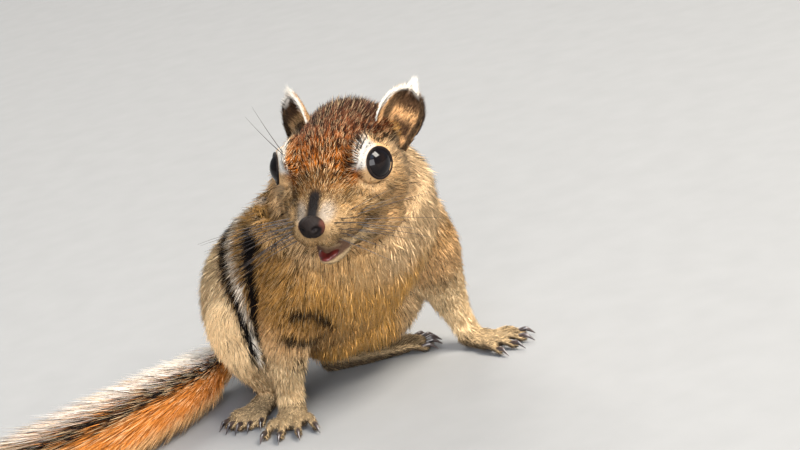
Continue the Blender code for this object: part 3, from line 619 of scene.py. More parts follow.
def head_colour(h):
    """The head's markings, from masks in the head's frame: a rust cap, amber in front, that
    darkens and fades to the nape; golden sides of the muzzle; paler pads, lips and chin; a
    black nose line and rows of dots; a white crescent over each eye, and buff under it."""
    x, y, z = h.T
    ax = np.abs(x)
    c = mixed(TAWNY, GREY, step(y, 2, 9) * (1 - step(z, -1, 3)) * 0.35)
    c = mixed(c, GOLD, step(-y, 3, 8) * 0.85)
    cap = step(z + 1.4, -0.9, 0.9) * step(y, -11.6, -9.4) * (1 - step(ax - 0.12 * y, 8.2, 10.5))
    cap = cap * (1 - 0.7 * step(y, 13, 19))
    c = mixed(c, mixed(AMBER, RUST, step(y, -5, 3)), cap)
    c = mixed(c, srgb(108, 78, 42), bump(y, -9.6, 1.8, 1.5) * step(z + 3.5, -0.6, 0.6) * 0.8)
    rim = step(y, 5, 13) * step(z, 2, 6)
    c = mixed(c, RUST_DARK, rim * 0.75)
    pads = np.exp(-(((ax - 3.4) / 3.9) ** 2 + ((y + 14) / 4.8) ** 2 + ((z + 7.6) / 3.9) ** 2) ** 2)
    c = mixed(c, CREAM, pads * 0.16)
    lower = step(-z, 10.2, 12.4) * (1 - step(y, -9, -3)) * (1 - step(ax, 6.5, 8.5))
    c = mixed(c, CREAM, lower * 0.6)
    patch = np.exp(-(((ax - 2.9) / 1.7) ** 2 + ((y + 14.4) / 3.0) ** 2 + ((z + 3.2) / 2.0) ** 2) ** 2)
    c = mixed(c, WHITE * 0.8, patch * 0.5)
    line = np.exp(-(ax / 1.5) ** 2) * step(-y, 9.6, 12.0) * step(z, -5.6, -4.2) * 1.5
    c = mixed(c * 0.82, BLACK, np.clip(line, 0, 1))
    rows = np.cos(np.pi * (y + 14) / 1.5) * np.cos(np.pi * (z + 6.4) / 1.15)
    dots = step(rows, 0.55, 0.9) * bump(ax, 5.2, 1.6, 0.8)
    dots = dots * bump(y, -12.6, 2.6, 1.0) * bump(z, -7.6, 2.4, 0.8)
    c = mixed(c, SEAL, dots * 0.85)
    above, below = mouth_heights(h)
    upper_lip = bump(above, 0.0, 0.25, 0.35)
    lower_lip = bump(below, 0.0, 0.45, 0.4) * (ax < 4.8)
    lip = (y < MOUTH_CORNER) * (ax < 6.6) * np.maximum(upper_lip, lower_lip)
    c = mixed(c, PINK_BROWN, lip * 0.85)
    for side, _ in SIDES:
        r, out, ahead = eye_ring(h, side)
        front = ahead > -1.0
        up, fore = out[:, 2], -out[:, 1]
        crescent = bump(r, 4.15 + 0.35 * up, 0.7, 0.35) * step(up * 0.75 + fore * 0.65, 0.3, 0.6)
        crescent = crescent * step(up, 0.0, 0.35) * front
        c = mixed(c, WHITE * 0.74, crescent)
        under = bump(r, 4.4, 0.7, 0.5) * step(-up, 0.1, 0.5) * front
        c = mixed(c, BUFF, under * 0.7)
    behind_ear = bump(ax, 11.5, 1.2, 1.2) * bump(y, 13.5, 1.6, 1.5) * bump(z, -5.0, 3.4, 1.5)
    c = mixed(c, WHITE, behind_ear * 0.6)
    ear_line = bump(ax - 0.35 * (y - 9), 10.2, 0.7, 0.6) * bump(y, 10.0, 2.4, 1.2) * bump(z, -3.5, 3.6, 1.5)
    c = mixed(c, SEAL, ear_line * 0.8)
    return c


def stripe_field(points, angle):
    """A measure that is 1 on the dark side stripe. Stripes run back from the shoulder beside
    the spine and turn down the flank before the haunch: they are level lines of
    (U^3 + V^3)^(1/3), with U by the way back and outwards and V by the angle from the spine."""
    back = np.maximum((0.793 * np.abs(points[:, 0]) + 0.569 * points[:, 1] - 14.0) / 15.0, 0)
    return (back ** 3 + ((110 - np.minimum(angle, 110)) / 75) ** 3 + 1e-6) ** (1 / 3)


def body_colour(places, normals):
    """The body's markings: stripes that follow the stripe field and a dark line along the
    spine; paler sides; an ochre chest, and a belly darkened to tan as painted shade; a pale
    neck and a paler left shoulder, partly their own colour and partly painted light on the
    left, lit side; legs that pale downwards, the forelegs partly as painted light; brown paws
    with painted shade beside and between the toes; and short dark bars on the forelegs."""
    s, a = places.along["trunk"], places.spine_angle()
    x, z = places.p[:, 0], places.p[:, 2]
    f = stripe_field(places.p, a)
    low = step(36 - z, 0, 16)
    c = mixed(OLIVE, GRIZZLE, step(f, 1.04, 1.12) * 0.85)
    c = mixed(c, CREAM, step(f, 1.07, 1.14) * (1 - step(f, 1.6, 1.75)) * step(-z, -46, -38) * 0.85)
    c = mixed(c, CREAM, bump(f, 1.2, 0.07, 0.05) * 0.6)
    behind = 1 - step(s, 0.6, 0.74)
    c = mixed(c, SEAL, bump(a, 0, 4.5, 4) * (1 - step(s, 0.8, 0.95)) * 0.9)
    c = mixed(c, OCHRE, step(a, 118, 135) * step(-f, -0.75, -0.5))
    # Painted shade: the belly's low middle is darkened from cream to tan
    c = mixed(c, srgb(176, 136, 88), step(a, 150, 166) * (1 - step(s, 0.5, 0.66)) * 0.9)
    c = mixed(c, TAWNY, step(s, 0.78, 0.88) * 0.85)
    # A pale throat and neck, partly their own colour and partly painted light: stronger on the animal's
    # left, the side the key light falls on, where the shoulder before the stripes is painted paler too
    near_head = np.linalg.norm((places.h - (4.0, 6.0, -10.0)) / (24.0, 28.0, 22.0), axis=1)
    pale = srgb(240, 204, 158)
    c = mixed(c, pale, (1 - step(near_head, 0.8, 1.15)) * (0.4 + 0.5 * step(x, -8, 4)))
    c = mixed(c, pale, step(x, 8, 17) * (1 - step(f, 0.35, 0.55)) * 0.7)
    for _, tag in SIDES:
        arm = places.share(f"arm_{tag}")
        t = places.along[f"arm_{tag}"]
        to_tawny, to_cream = ARM_FADES[tag]
        # Forelegs pale downwards, partly their own colour and partly painted light, the left one sooner
        colour = mixed(mixed(OLIVE, TAWNY, step(t, *to_tawny)), CREAM, step(t, *to_cream))
        c = mixed(c, colour, np.clip(arm * 1.3, 0, 1) * step(t, 0.0, 0.12))
        leg = np.clip(places.share(f"thigh_{tag}", f"shank_{tag}") * 1.4, 0, 1)
        c = mixed(c, LEG_CREAM, leg * step(-z, -34, -24))
    off_arm = 1 - np.clip(1.8 * places.share("arm_left"), 0, 1)
    ends = behind * step(z, 13.0, 17.5) * off_arm
    c = mixed(c, BLACK, bump(f, 0.985 - 0.05 * low, 0.056, 0.035) * ends)
    c = mixed(c, srgb(236, 224, 206), bump(f, 0.84 + 0.03 * low, 0.036 - 0.02 * low, 0.035) * ends * 0.85)
    c = mixed(c, BLACK, bump(f, 0.525 + 0.21 * step(44 - z, 0, 22), 0.066 - 0.012 * low, 0.045) * ends)
    for _, tag in SIDES:
        foot = places.share(f"fore_{tag}", f"hind_{tag}")
        # Painted shade where a paw faces sideways or down near the floor: beside and between the toes
        toe_shade = step(0.3 - normals[:, 2], 0.0, 0.5) * 0.8 * step(-z, -4.5, -2.5)
        c = mixed(c, mixed(PAW, SEAL, toe_shade), np.clip(foot * 1.3, 0, 1))
    front = normals[:, 1] < -0.15
    upper_bar = bump(z, 29.4 - 0.062 * (x + 19.5) ** 2, 0.95, 0.5) * bump(x, -14.5, 4.6, 1.2)
    lower_bar = bump(z, 19.8 + 0.03 * (x + 10) ** 2, 1.1, 0.5) * bump(x, -16.0, 5.0, 1.2)
    marks = np.maximum(bump(z, 16.3, 0.35, 0.4), bump(z, 13.7, 0.3, 0.4)) * bump(x, -17.4, 1.5, 0.8)
    c = mixed(c, BLACK, np.maximum(np.maximum(upper_bar, lower_bar), marks) * front * 0.9)
    left_bars = np.maximum(bump(z, 27.5, 0.5, 0.5), bump(z, 21.5, 0.6, 0.5)) * bump(x, 22.5, 3.6, 1.0)
    return mixed(c, SEAL, left_bars * front * 0.45)


def coat_colour(places, normals):
    """The markings of skin and coat alike, as linear colours."""
    return mixed(body_colour(places, normals), head_colour(places.h), places.head)


# Skin

def mouth_wedge():
    """The open mouth as a cutter: at each x a thin wedge between two points at the mouth's
    corner and two in front of the lips. It opens by the share (1 - (x / half)^2)^1.2 of the
    whole, and is a slit further out. It droops by 0.07 x^2."""
    sections = 65
    x = np.linspace(-8.0, 8.0, sections)
    share = np.maximum(1 - (x / MOUTH_HALF) ** 2, 0) ** 1.2
    corner, front = np.full_like(x, MOUTH_CORNER), np.full_like(x, MOUTH_FRONT)
    corner_low = MOUTH_CORNER_HIGH - 0.05 - 0.25 * share
    front_low = MOUTH_FRONT_HIGH - (0.05 + MOUTH_GAPE * share)
    rows = np.stack([np.stack([x, corner, np.full_like(x, MOUTH_CORNER_HIGH)], -1),
                     np.stack([x, front, np.full_like(x, MOUTH_FRONT_HIGH)], -1),
                     np.stack([x, front, front_low], -1),
                     np.stack([x, corner, corner_low], -1)], 1)
    rows[:, :, 2] -= MOUTH_DROOP * np.minimum(x**2, MOUTH_DROOP_END**2)[:, None]
    first = np.arange(4)
    caps = [first[None], (first + 4 * (sections - 1))[None, ::-1]]
    return in_frame(rows.reshape(-1, 3), HEAD), caps + [grid_faces(sections, 4)[:, ::-1]]


def opened_eyes(points):
    """Skin round each eye: inside the opening it sinks into the eyeball, and beside it its
    distance from the ball's middle stays between a least and a most that grow with the angle
    from the eye's axis, so that it covers the ball."""
    h = to_head(points)
    for side, _ in SIDES:
        centre, axis = on_side(EYE_AT, side), unit(on_side(EYE_AXIS, side))
        d = h - centre
        r = np.linalg.norm(d, axis=1)
        angle = np.degrees(np.arccos(np.clip((d @ axis) / np.maximum(r, 1e-6), -1, 1)))
        opening = math.degrees(math.asin(EYE_OPENING / EYE_R))
        inside = (angle < opening + 1) & (r < EYE_R + 4)
        least = EYE_R + 0.05 + 0.35 * step(angle, opening + 2, opening + 14)
        most = EYE_R - 0.05 + 0.09 * np.maximum(angle - opening, 0)
        target = np.where(inside, EYE_R - 0.8, np.clip(r, least, np.maximum(most, least)))
        moved = (r < EYE_R + 4) & (inside | (angle < 100))
        h = np.where(moved[:, None], centre + d * (target / np.maximum(r, 1e-6))[:, None], h)
    return in_frame(h, HEAD)


def eased(mesh, points, rounds):
    """Points moved again and again to the mean of their neighbours, by half of the way and
    by less on the paws and the muzzle, so that toes and lips stay."""
    ends = np.empty(len(mesh.edges) * 2, np.int32)
    mesh.edges.foreach_get("vertices", ends)
    a, b = ends.reshape(-1, 2).T
    count = np.bincount(a, minlength=len(points)) + np.bincount(b, minlength=len(points))
    muzzle = step(-to_head(points)[:, 1], 7, 11)
    share = ((0.08 + 0.42 * step(points[:, 2], 4.0, 8.0)) * (1 - 0.7 * muzzle))[:, None]
    for _ in range(rounds):
        total = np.stack([np.bincount(a, points[b, i], len(points))
                          + np.bincount(b, points[a, i], len(points)) for i in range(3)], -1)
        points = points + share * (total / count[:, None] - points)
    return points


def skin():
    """One skin over head, trunk and legs: the shapes grown together, eased, drawn in by the
    coat's depth, opened at the eyes and cut at the mouth."""
    shapes = head_shapes() + limb_shapes() + [tube(TRUNK, up=(0, 1, 0), around=56, per_span=7)]
    shapes += [ball(centre, radii) for centre, radii in BELLY]
    obj = mesh_object("skin", *merged(shapes))
    fuse = obj.modifiers.new("Fuse", "REMESH")
    fuse.mode = "VOXEL"
    fuse.voxel_size = SKIN_VOXEL * MM
    obj = evaluated(obj)
    points = points_of(obj.data)
    points = eased(obj.data, points, 9)
    put_points(obj.data, points)
    places = Places(points)
    points = points - normals_of(obj.data) * depth_of(places)[:, None]
    points[:, 2] = np.maximum(points[:, 2], SKIN_LOW)
    put_points(obj.data, opened_eyes(points))
    wedge = mesh_object("mouth_wedge", *mouth_wedge())
    cut = obj.modifiers.new("Mouth", "BOOLEAN")
    cut.object = wedge
    cut.solver = "EXACT"
    cut.operation = "DIFFERENCE"
    cut.material_mode = "TRANSFER"
    wedge.data.materials.append(MATERIALS["lining"])
    obj.data.materials.append(MATERIALS["skin"])
    obj = evaluated(obj)
    bpy.data.objects.remove(wedge, do_unlink=True)
    obj.data.shade_smooth()
    colours = coat_colour(Places(points_of(obj.data)), normals_of(obj.data))
    put_colours(obj.data, "Markings", colours * SKIN_SHADE)
    return obj


# Coat

def tuft_mesh(name, root, normal, lie, size, colours, patch, rings=2):
    """Tapered tufts in one mesh. A tuft's middle at share t of its length L is
    root + lie L t + normal (lift t - bend t^2) L, set 0.12 mm into the skin. Rings of three
    points round it shrink to one at the tip. size holds rows of length, width, lift and
    bend, and colours one colour a tuft for each ring and the tip."""
    count = len(root)
    long, wide, lift, bend = size.T[:, :, None]
    across = np.cross(lie, normal)
    t = np.linspace(0, 1, rings + 1)
    angle = np.radians([90.0, 210.0, 330.0])
    points = np.empty((count, rings * 3 + 1, 3))
    tint = np.empty((count, rings * 3 + 1, 3))
    uv = np.empty((count, rings * 3 + 1, 2))
    for k in range(rings + 1):
        rise = lift * t[k] - bend * t[k] ** 2
        middle = root - normal * 0.12 + lie * long * t[k] + normal * long * rise
        shade = colours[k]
        if k == rings:
            points[:, -1] = middle
            tint[:, -1] = shade
            uv[:, -1] = patch + (0.0015, 0.003)
            continue
        taper = (1.0 - 0.35 * t[k]) if k else 0.85
        for j in range(3):
            ring = across * np.cos(angle[j]) * wide * 0.58 + normal * np.sin(angle[j]) * wide * 0.26
            points[:, k * 3 + j] = middle + ring * taper
            tint[:, k * 3 + j] = shade
            uv[:, k * 3 + j] = patch + (0.0015 + 0.0015 * math.cos(angle[j]), 0.003 * t[k])
    last = (rings - 1) * 3
    tip = rings * 3
    pattern = [(2, 1, 0)]
    for k in range(rings - 1):
        for j in range(3):
            m = (j + 1) % 3
            a, b, c, d = k * 3 + j, k * 3 + m, k * 3 + 3 + m, k * 3 + 3 + j
            pattern += [(a, b, c), (a, c, d)]
    pattern += [(last + j, last + (j + 1) % 3, tip) for j in range(3)]
    pattern = np.array(pattern)
    per = rings * 3 + 1
    tris = (pattern[None] + (np.arange(count) * per)[:, None, None]).reshape(-1, 3)
    obj = mesh_object(name, points.reshape(-1, 3), [tris])
    put_colours(obj.data, "Tint", tint.reshape(-1, 3))
    layer = obj.data.uv_layers.new(name="OFBake")
    layer.data.foreach_set("uv", uv.reshape(-1, 2)[tris.ravel()].astype(np.float32).ravel())
    return obj


def fur_triangles(mesh):
    """A mesh's triangles as point numbers, of the faces that have its first material."""
    mesh.calc_loop_triangles()
    count = len(mesh.loop_triangles)
    tris = np.empty(count * 3, np.int32)
    mesh.loop_triangles.foreach_get("vertices", tris)
    which = np.empty(count, np.int32)
    mesh.loop_triangles.foreach_get("material_index", which)
    return tris.reshape(-1, 3)[which == 0]


def scattered(points, normals, tris, density, count, chance):
    """Roots drawn over triangles, as likely as area times density: sums of the corners with
    random weights. Gives root points and their normals."""
    a, b, c = points[tris].transpose(1, 0, 2)
    area = np.linalg.norm(np.cross(b - a, c - a), axis=1) / 2
    weight = area * density[tris].mean(axis=1)
    picked = chance.choice(len(tris), size=count, p=weight / weight.sum())
    a, b = chance.random(count), chance.random(count)
    flip = a + b > 1
    a[flip], b[flip] = 1 - a[flip], 1 - b[flip]
    w = np.stack([1 - a - b, a, b], -1)[..., None]
    return (points[tris[picked]] * w).sum(1), unit((normals[tris[picked]] * w).sum(1))


def unwrap(places):
    """Places on an unwrap of the skin: along and round the way that a point is nearest to,
    each way in its own cell of a four by four sheet, and the head round its own axis in the
    lowest row."""
    names = [name for name, _, _ in WAYS]
    nearest = np.argmin(np.stack([places.near[name] for name in names]), axis=0)
    uv = np.empty((len(places.p), 2))
    for n, name in enumerate(names):
        mine = nearest == n
        cell = np.array([n % 4, 1 + n // 4]) * 0.24
        turn = (places.round[name][mine] / (2 * np.pi) + 0.5) * 0.23
        uv[mine] = cell + np.stack([places.along[name][mine] * 0.23, turn], -1)
    head = places.head > 0.5
    x, y, z = places.h[head].T
    uv[head] = np.stack([np.arctan2(x, z + 4) / (2 * np.pi) + 0.5, np.clip((y + 22) / 48, 0, 1) * 0.23], -1)
    return np.clip(uv, 0, 0.996)


def lock_noise(points, cell, seed):
    """A value 0 to 1 for each cell of space that points fall in, the same for all in it:
    the fraction of 43758 sin(k) for a sum k of the cell's numbers."""
    numbers = np.floor(points / cell) @ np.array((12.9898, 78.233, 37.719)) + seed
    return np.mod(np.sin(numbers) * 43758.5453, 1.0)


def ticked(base, chance, dark, pale, locks):
    """Root, middle and tip colours of tufts: deep at the root, varied in the middle by
    chance and from lock to lock, and at the tip dark or pale by chance."""
    count = len(base)
    middle = base * (chance.uniform(0.55, 1.45, count) * (0.7 + 0.7 * locks))[:, None]
    draw = chance.random(count)[:, None]
    dim, light = draw < dark[:, None], draw > 1 - pale[:, None]
    tip = np.where(dim, base * 0.05, np.where(light, base * 0.5 + CREAM * 0.6, middle * 1.4))
    middle = np.where(dim, middle * 0.2, middle)
    tip = tip / np.maximum(tip.max(axis=1, keepdims=True) / 0.9, 1)
    middle = middle / np.maximum(middle.max(axis=1, keepdims=True) / 0.8, 1)
    return [middle * 0.3, middle, tip]


def clearance(places):
    """How much of its length a tuft keeps: none in the eye's opening, on the nose and in
    the mouth, and less beside them."""
    h = places.h
    keep = np.ones(len(h))
    for side, _ in SIDES:
        r, _, ahead = eye_ring(h, side)
        keep *= np.where(ahead > 0, step(r, EYE_OPENING + 0.25, EYE_OPENING + 2.4) * 0.85 + 0.15, 1.0)
        keep *= (np.linalg.norm(h - on_side(EYE_AT, side), axis=1) > EYE_R + 0.05) | (ahead < 0)
        keep *= (r > EYE_OPENING + 0.3) | (ahead < 0)
    nose = np.linalg.norm((h - np.array(NOSE_AT)) / NOSE_R, axis=1)
    keep *= np.where(h[:, 1] < -14.5, step(nose, 0.98, 1.5) * 0.65 + 0.35, 1.0) * (nose > 0.98)
    above, below = mouth_heights(h)
    near_lips = (h[:, 1] < -8.9) * (np.abs(h[:, 0]) < 6.2)
    gap = np.maximum(above, below)
    keep *= np.where(near_lips > 0, 0.35 + 0.65 * step(gap, 0.3, 2.2), 1.0)
    keep *= (gap > 0.12) | (near_lips == 0)
    return keep


def under_side(places):
    """How strongly points belong to the underside of trunk and forelegs, 0 to 1."""
    return places.share("trunk", "arm_left", "arm_right") * step(places.spine_angle(), 120, 150)


def tuft_growth(here, root, normal, keep, rings, longer, chance):
    """How tufts lie at their roots, and rows of their length, width, lift and bend. The coat's
    lie is swayed from lock to lock and strays by chance; lengths go by the coat's depth."""
    count = len(root)
    foot = here.share(*PAWS)
    stray = 0.2 if rings == 2 else 0.13
    sway = np.stack([lock_noise(root, 1.7, 10.0 * axis) - 0.5 for axis in range(3)], -1)
    sway = 0.45 * sway * (1 - 0.6 * here.head[:, None])
    lie = lie_of(here, normal)
    lie = unit(lie + chance.normal(0, stray, lie.shape) + sway)
    long = depth_of(here) * 2.25 * chance.uniform(0.7, 1.15, count) + 0.2 + 0.25 * foot
    long = long * keep * longer
    wide = (0.15 + 0.035 * long - 0.045 * (rings == 2)) * chance.uniform(0.7, 1.3, count)
    rear = here.head * step(here.h[:, 1], 6, 15)
    lift = 0.5 - 0.12 * here.head - 0.1 * foot + 0.1 * under_side(here) + 0.3 * rear
    lift = lift * chance.uniform(0.5, 1.25, count)
    bend = (0.14 + 0.1 * (rings - 1)) * chance.uniform(0.2, 1.2, count)
    return square_to(lie, normal), np.stack([long, wide, lift, bend], -1)


def tuft_shades(here, root, normal, rings, chance):
    """The colours of tufts from root to tip: the coat's own colour, with dark tips more often
    on crown, back and feet, and pale ones more often on trunk and cheeks."""
    trunk = here.share("trunk")
    crown = here.head * step(here.h[:, 2], -1, 1) * step(here.h[:, 1], -11, -8)
    dark = 0.08 + 0.28 * crown + 0.24 * trunk * (1 - under_side(here)) + 0.13 * here.head
    dark = dark + 0.24 * here.share(*PAWS)
    pale = 0.14 + 0.08 * (1 - crown) * here.head + 0.16 * trunk * (1 - 0.5 * crown)
    pale = pale * (1 - 0.6 * (rings == 2))
    base = coat_colour(here, normal)
    bright = base.max(axis=1)
    dark = dark * (1 - 0.65 * step(bright, 0.42, 0.7)) * (0.3 + 1.5 * lock_noise(root, 0.9, 57.0))
    pale = pale * step(bright, 0.02, 0.08)
    shades = ticked(base, chance, dark, pale, lock_noise(root, 1.7, 31.0))
    if rings == 2:
        return shades
    limb = np.clip(1 - trunk - here.head, 0, 1)[:, None]
    return [shades[1] * (0.52 + 0.35 * limb), shades[2]]


def coat(skin_obj):
    """The coat of head, trunk and legs in pieces, each drawn over the skin with its own
    length, width and lift: close spikes all over, and longer bent tufts that break them."""
    points, normals = points_of(skin_obj.data), normals_of(skin_obj.data)
    tris = fur_triangles(skin_obj.data)
    places = Places(points)
    foot = places.share(*PAWS)
    trunk = places.share("trunk")
    top = 1 - step(places.spine_angle(), 84, 104)
    face = places.head * (1 - step(places.h[:, 1], 0, 4))
    rest = 1 - places.head
    nape = places.head * step(places.h[:, 1], 2, 9)
    seen = (clearance(places) > 0) * (points[:, 2] > 0.35)
    # For each piece where it grows, how many tufts, the rings of each, and how long they are
    pieces = {
        "coat_face": (face, 48000, 1, 1.0),
        "coat_crown": (places.head - face, 40000, 1, 1.0),
        "coat_back": (rest * trunk * top, 42000, 1, 1.0),
        "coat_under": (rest * trunk * (1 - top), 36000, 1, 1.0),
        "coat_legs": (rest * np.clip(1 - trunk - foot, 0, 1), 36000, 1, 1.0),
        "coat_feet": (rest * foot, 16000, 1, 1.0),
        "coat_long": (rest * (1 - foot) + 0.25 * nape, 14500, 2, 1.2),
    }
    made = []
    for n, (name, (density, count, rings, longer)) in enumerate(pieces.items()):
        chance = np.random.default_rng(COAT_SEED + n)
        density = np.clip(density, 0, 1) * seen
        root, normal = scattered(points, normals, tris, density, count, chance)
        keep = clearance(Places(root))
        root, normal, keep = root[keep > 0], normal[keep > 0], keep[keep > 0]
        here = Places(root)
        lie, size = tuft_growth(here, root, normal, keep, rings, longer, chance)
        shades = tuft_shades(here, root, normal, rings, chance)
        obj = tuft_mesh(name, root, normal, lie, size, shades, unwrap(here), rings)
        kept_above(obj.data, COAT_LOW)
        obj.data.materials.append(MATERIALS["coat"])
        made.append(obj)
    return made


# Tail

def along_way(s, length, rows):
    """Rows of three numbers at distances s along a way, drawn straight between its stations."""
    return np.stack([np.interp(s, length, rows[:, i]) for i in range(3)], -1)


def tail_hair():
    """The tail: a core along its way, and long hairs from it that bend back along it. The
    colours of a hair follow how high its points stand across the tail."""
    rows = smooth_rows(TAIL, 10)
    path, reach = rows[:, :3], rows[:, 3]
    along = unit(np.gradient(path, axis=0))
    length = np.concatenate([[0], np.cumsum(np.linalg.norm(np.diff(path, axis=0), axis=1))])
    core_rows = [(*row[:3], row[3] * 0.36, row[4] * 0.36) for row in TAIL[:-1]]
    core_end = np.array(TAIL[-1][:3]) * 0.5 + np.array(TAIL[-2][:3]) * 0.5
    core_rows.append((*core_end, 1.2, 1.2))
    core = mesh_object("tail_core", *tube(core_rows, around=24, per_span=8))
    core.data.materials.append(MATERIALS["coat"])
    put_colours(core.data, "Tint", np.broadcast_to(srgb(96, 50, 20), (len(core.data.vertices), 3)))
    made = [core]
    count = TAIL_HAIRS
    for piece in range(TAIL_PIECES):
        chance = np.random.default_rng(TAIL_SEED + piece)
        s = length[-1] * (piece + chance.random(count)) / TAIL_PIECES * 0.985
        angle = chance.uniform(-np.pi, np.pi, count)
        centre = along_way(s, length, path)
        way = unit(along_way(s, length, along))
        radius = np.interp(s, length, reach)
        side = unit(np.cross(way, (0, 0, 1)))
        rise = np.cross(side, way)
        outward = side * np.cos(angle)[:, None] + rise * np.sin(angle)[:, None]
        narrow = step(s / length[-1], 0.84, 1.0)
        hold = radius * 0.33 * (1 - 0.9 * narrow)
        root = centre + outward * hold[:, None]
        long = (10.5 + 6.5 * np.minimum(1, s / 45)) * chance.uniform(0.6, 1.1, count)
        to_tip = (length[-1] - s) * chance.uniform(0.6, 1.15, count) + chance.uniform(0.5, 4.0, count)
        long = np.minimum(long, to_tip)
        far = np.minimum(s + long * 0.8, length[-1])
        far_radius = np.interp(far, length, reach) * chance.uniform(0.5, 1.06, count)
        far_radius = far_radius * (1 - 0.86 * step(s / length[-1], 0.55, 1.0))
        room = np.maximum(far_radius - hold, 0.25)
        bend_way = unit(along_way(far, length, along))
        lie = unit(way + 0.7 * bend_way + chance.normal(0, 0.07, way.shape))
        outward = square_to(outward, lie)
        lift = np.clip(1.5 * room / long, 0.05, 1.3)
        bend = lift - room / long
        size = np.stack([long, 0.27 * chance.uniform(0.6, 1.3, count), lift, bend], -1)
        shades = []
        for t in (0.2, 0.55, 1.0):
            high = (long * (lift * t - bend * t * t))[:, None]
            spot = root + lie * (long * t)[:, None] + outward * high
            shades.append(tail_colour(spot, centre, radius, rise, t, chance))
        turn = angle / (2 * np.pi) + 0.5
        patch = np.stack([0.02 + 0.9 * s / length[-1], 0.74 + 0.24 * turn], -1)
        obj = tuft_mesh(f"tail_coat_{piece + 1}", root, outward, lie, size, shades, patch, rings=2)
        kept_above(obj.data, TAIL_LOW)
        obj.data.materials.append(MATERIALS["coat"])
        made.append(obj)
    return made


def tail_colour(spot, centre, radius, rise, t, chance):
    """The tail's colours by height e across it, from -1 at the lower edge to 1 at the upper:
    orange in the middle, a black band and a white fringe above, and buff and then dark brown
    below. Hairs are deep at the root, and some are paler at the tip."""
    e = ((spot - centre) * rise).sum(1) / radius + chance.normal(0, 0.06, len(spot))
    e = e - 0.12 * chance.random(len(e)) * (t > 0.9)
    c = srgb(190, 118, 52) * chance.uniform(0.65, 1.25, len(e))[:, None]
    c = mixed(c, srgb(204, 168, 118), step(-e, 0.25, 0.6) * 0.65)
    c = mixed(c, srgb(64, 44, 30), step(-e, 0.62, 0.8) * 0.85)
    c = mixed(c, BLACK, bump(e, 0.56, 0.15, 0.1) * (chance.random(len(e)) < 0.9))
    c = mixed(c, WHITE, step(e, 0.72, 0.86))
    if t > 0.9:
        pale = chance.random(len(e)) < 0.25
        c[pale] = mixed(c[pale], CREAM, np.full(pale.sum(), 0.7))
    return c * (0.45 if t < 0.25 else 1.0)


# Eyes and lids

def eyes():
    """Each eye as a ball with a slight bulge over its middle: r = R (1 + b exp(-(angle / w)^2))."""
    for side, tag in SIDES:
        axis = unit(on_side(EYE_AXIS, side))
        points, faces = ball((0, 0, 0), (1, 1, 1), around=72)
        angle = np.arccos(np.clip(unit(points) @ axis, -1, 1))
        points = points * (EYE_R * (1 + 0.03 * np.exp(-(angle / 0.7) ** 2)))[:, None]
        obj = mesh_object(f"eyeball_{tag}", in_frame(points + on_side(EYE_AT, side), HEAD), faces)
        obj.data.materials.append(MATERIALS["eye"])
        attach(obj, "root")
        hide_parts(f"eye_{tag}")


# Where round each eye its front corner lies, from straight up
CORNER = {1: 2 * np.pi - 2.25, -1: 2.25}


def eyelids():
    """A bare dark rim round each eye: a ring of rounded section on the ball, egg-shaped as
    its radius swells towards the front corner; and behind it a lid: a zone of a sphere just
    over the ball, closed by an inner one."""
    around, section, bands = 96, 14, 9
    for side, tag in SIDES:
        axis = unit(on_side(EYE_AXIS, side))
        up = unit(np.array([0, 0, 1.0]) - axis * axis[2])
        across = np.cross(axis, up)
        a = np.linspace(0, 2 * np.pi, around, endpoint=False)[:, None]
        b = np.linspace(0, 2 * np.pi, section, endpoint=False)[None, :]
        opening = EYE_OPENING + 0.12 * np.cos(a) ** 2 + 0.25 * np.exp(-((a - CORNER[side]) / 0.4) ** 2)
        off = opening + 0.36 * (0.35 + np.cos(b))
        lift = np.sqrt(np.maximum(EYE_R**2 - opening**2, 0)) + 0.1 + 0.28 * np.sin(b)
        spot = (up * (off * np.cos(a))[..., None] + across * (off * np.sin(a))[..., None]
                + axis * np.broadcast_to(lift, off.shape)[..., None])
        points = in_frame(spot.reshape(-1, 3) + on_side(EYE_AT, side), HEAD)
        faces = grid_faces(around + 1, section) % (around * section)
        obj = mesh_object(f"eyelid_{tag}", points, [faces])
        obj.data.materials.append(MATERIALS["rim"])
        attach(obj, "root")
        edge = math.asin(EYE_OPENING / EYE_R)
        angle = np.linspace(edge, edge + 0.55, bands)[:, None]
        rim = (axis * np.cos(angle)[..., None] + up * (np.sin(angle) * np.cos(a.T))[..., None]
               + across * (np.sin(angle) * np.sin(a.T))[..., None])
        outer = rim * (EYE_R + 0.1 + 0.12 * (angle - edge))[..., None]
        inner = rim * (EYE_R - 0.3)
        points = np.vstack([outer.reshape(-1, 3), inner.reshape(-1, 3)]) + on_side(EYE_AT, side)
        zone = grid_faces(bands, around)
        ring, count = np.arange(around), bands * around
        after = (ring + 1) % around
        end = count - around
        first = np.stack([ring, after, after + count, ring + count], -1)
        last = np.stack([after + end, ring + end, ring + end + count, after + end + count], -1)
        sets = [zone[:, ::-1], zone + count, first, last]
        obj = mesh_object(f"lid_{tag}", in_frame(points, HEAD), sets)
        put_colours(obj.data, "Markings", head_colour(points) * SKIN_SHADE)
        obj.data.materials.append(MATERIALS["skin"])
        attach(obj, "root")


# Nose, mouth, ears, claws and whiskers

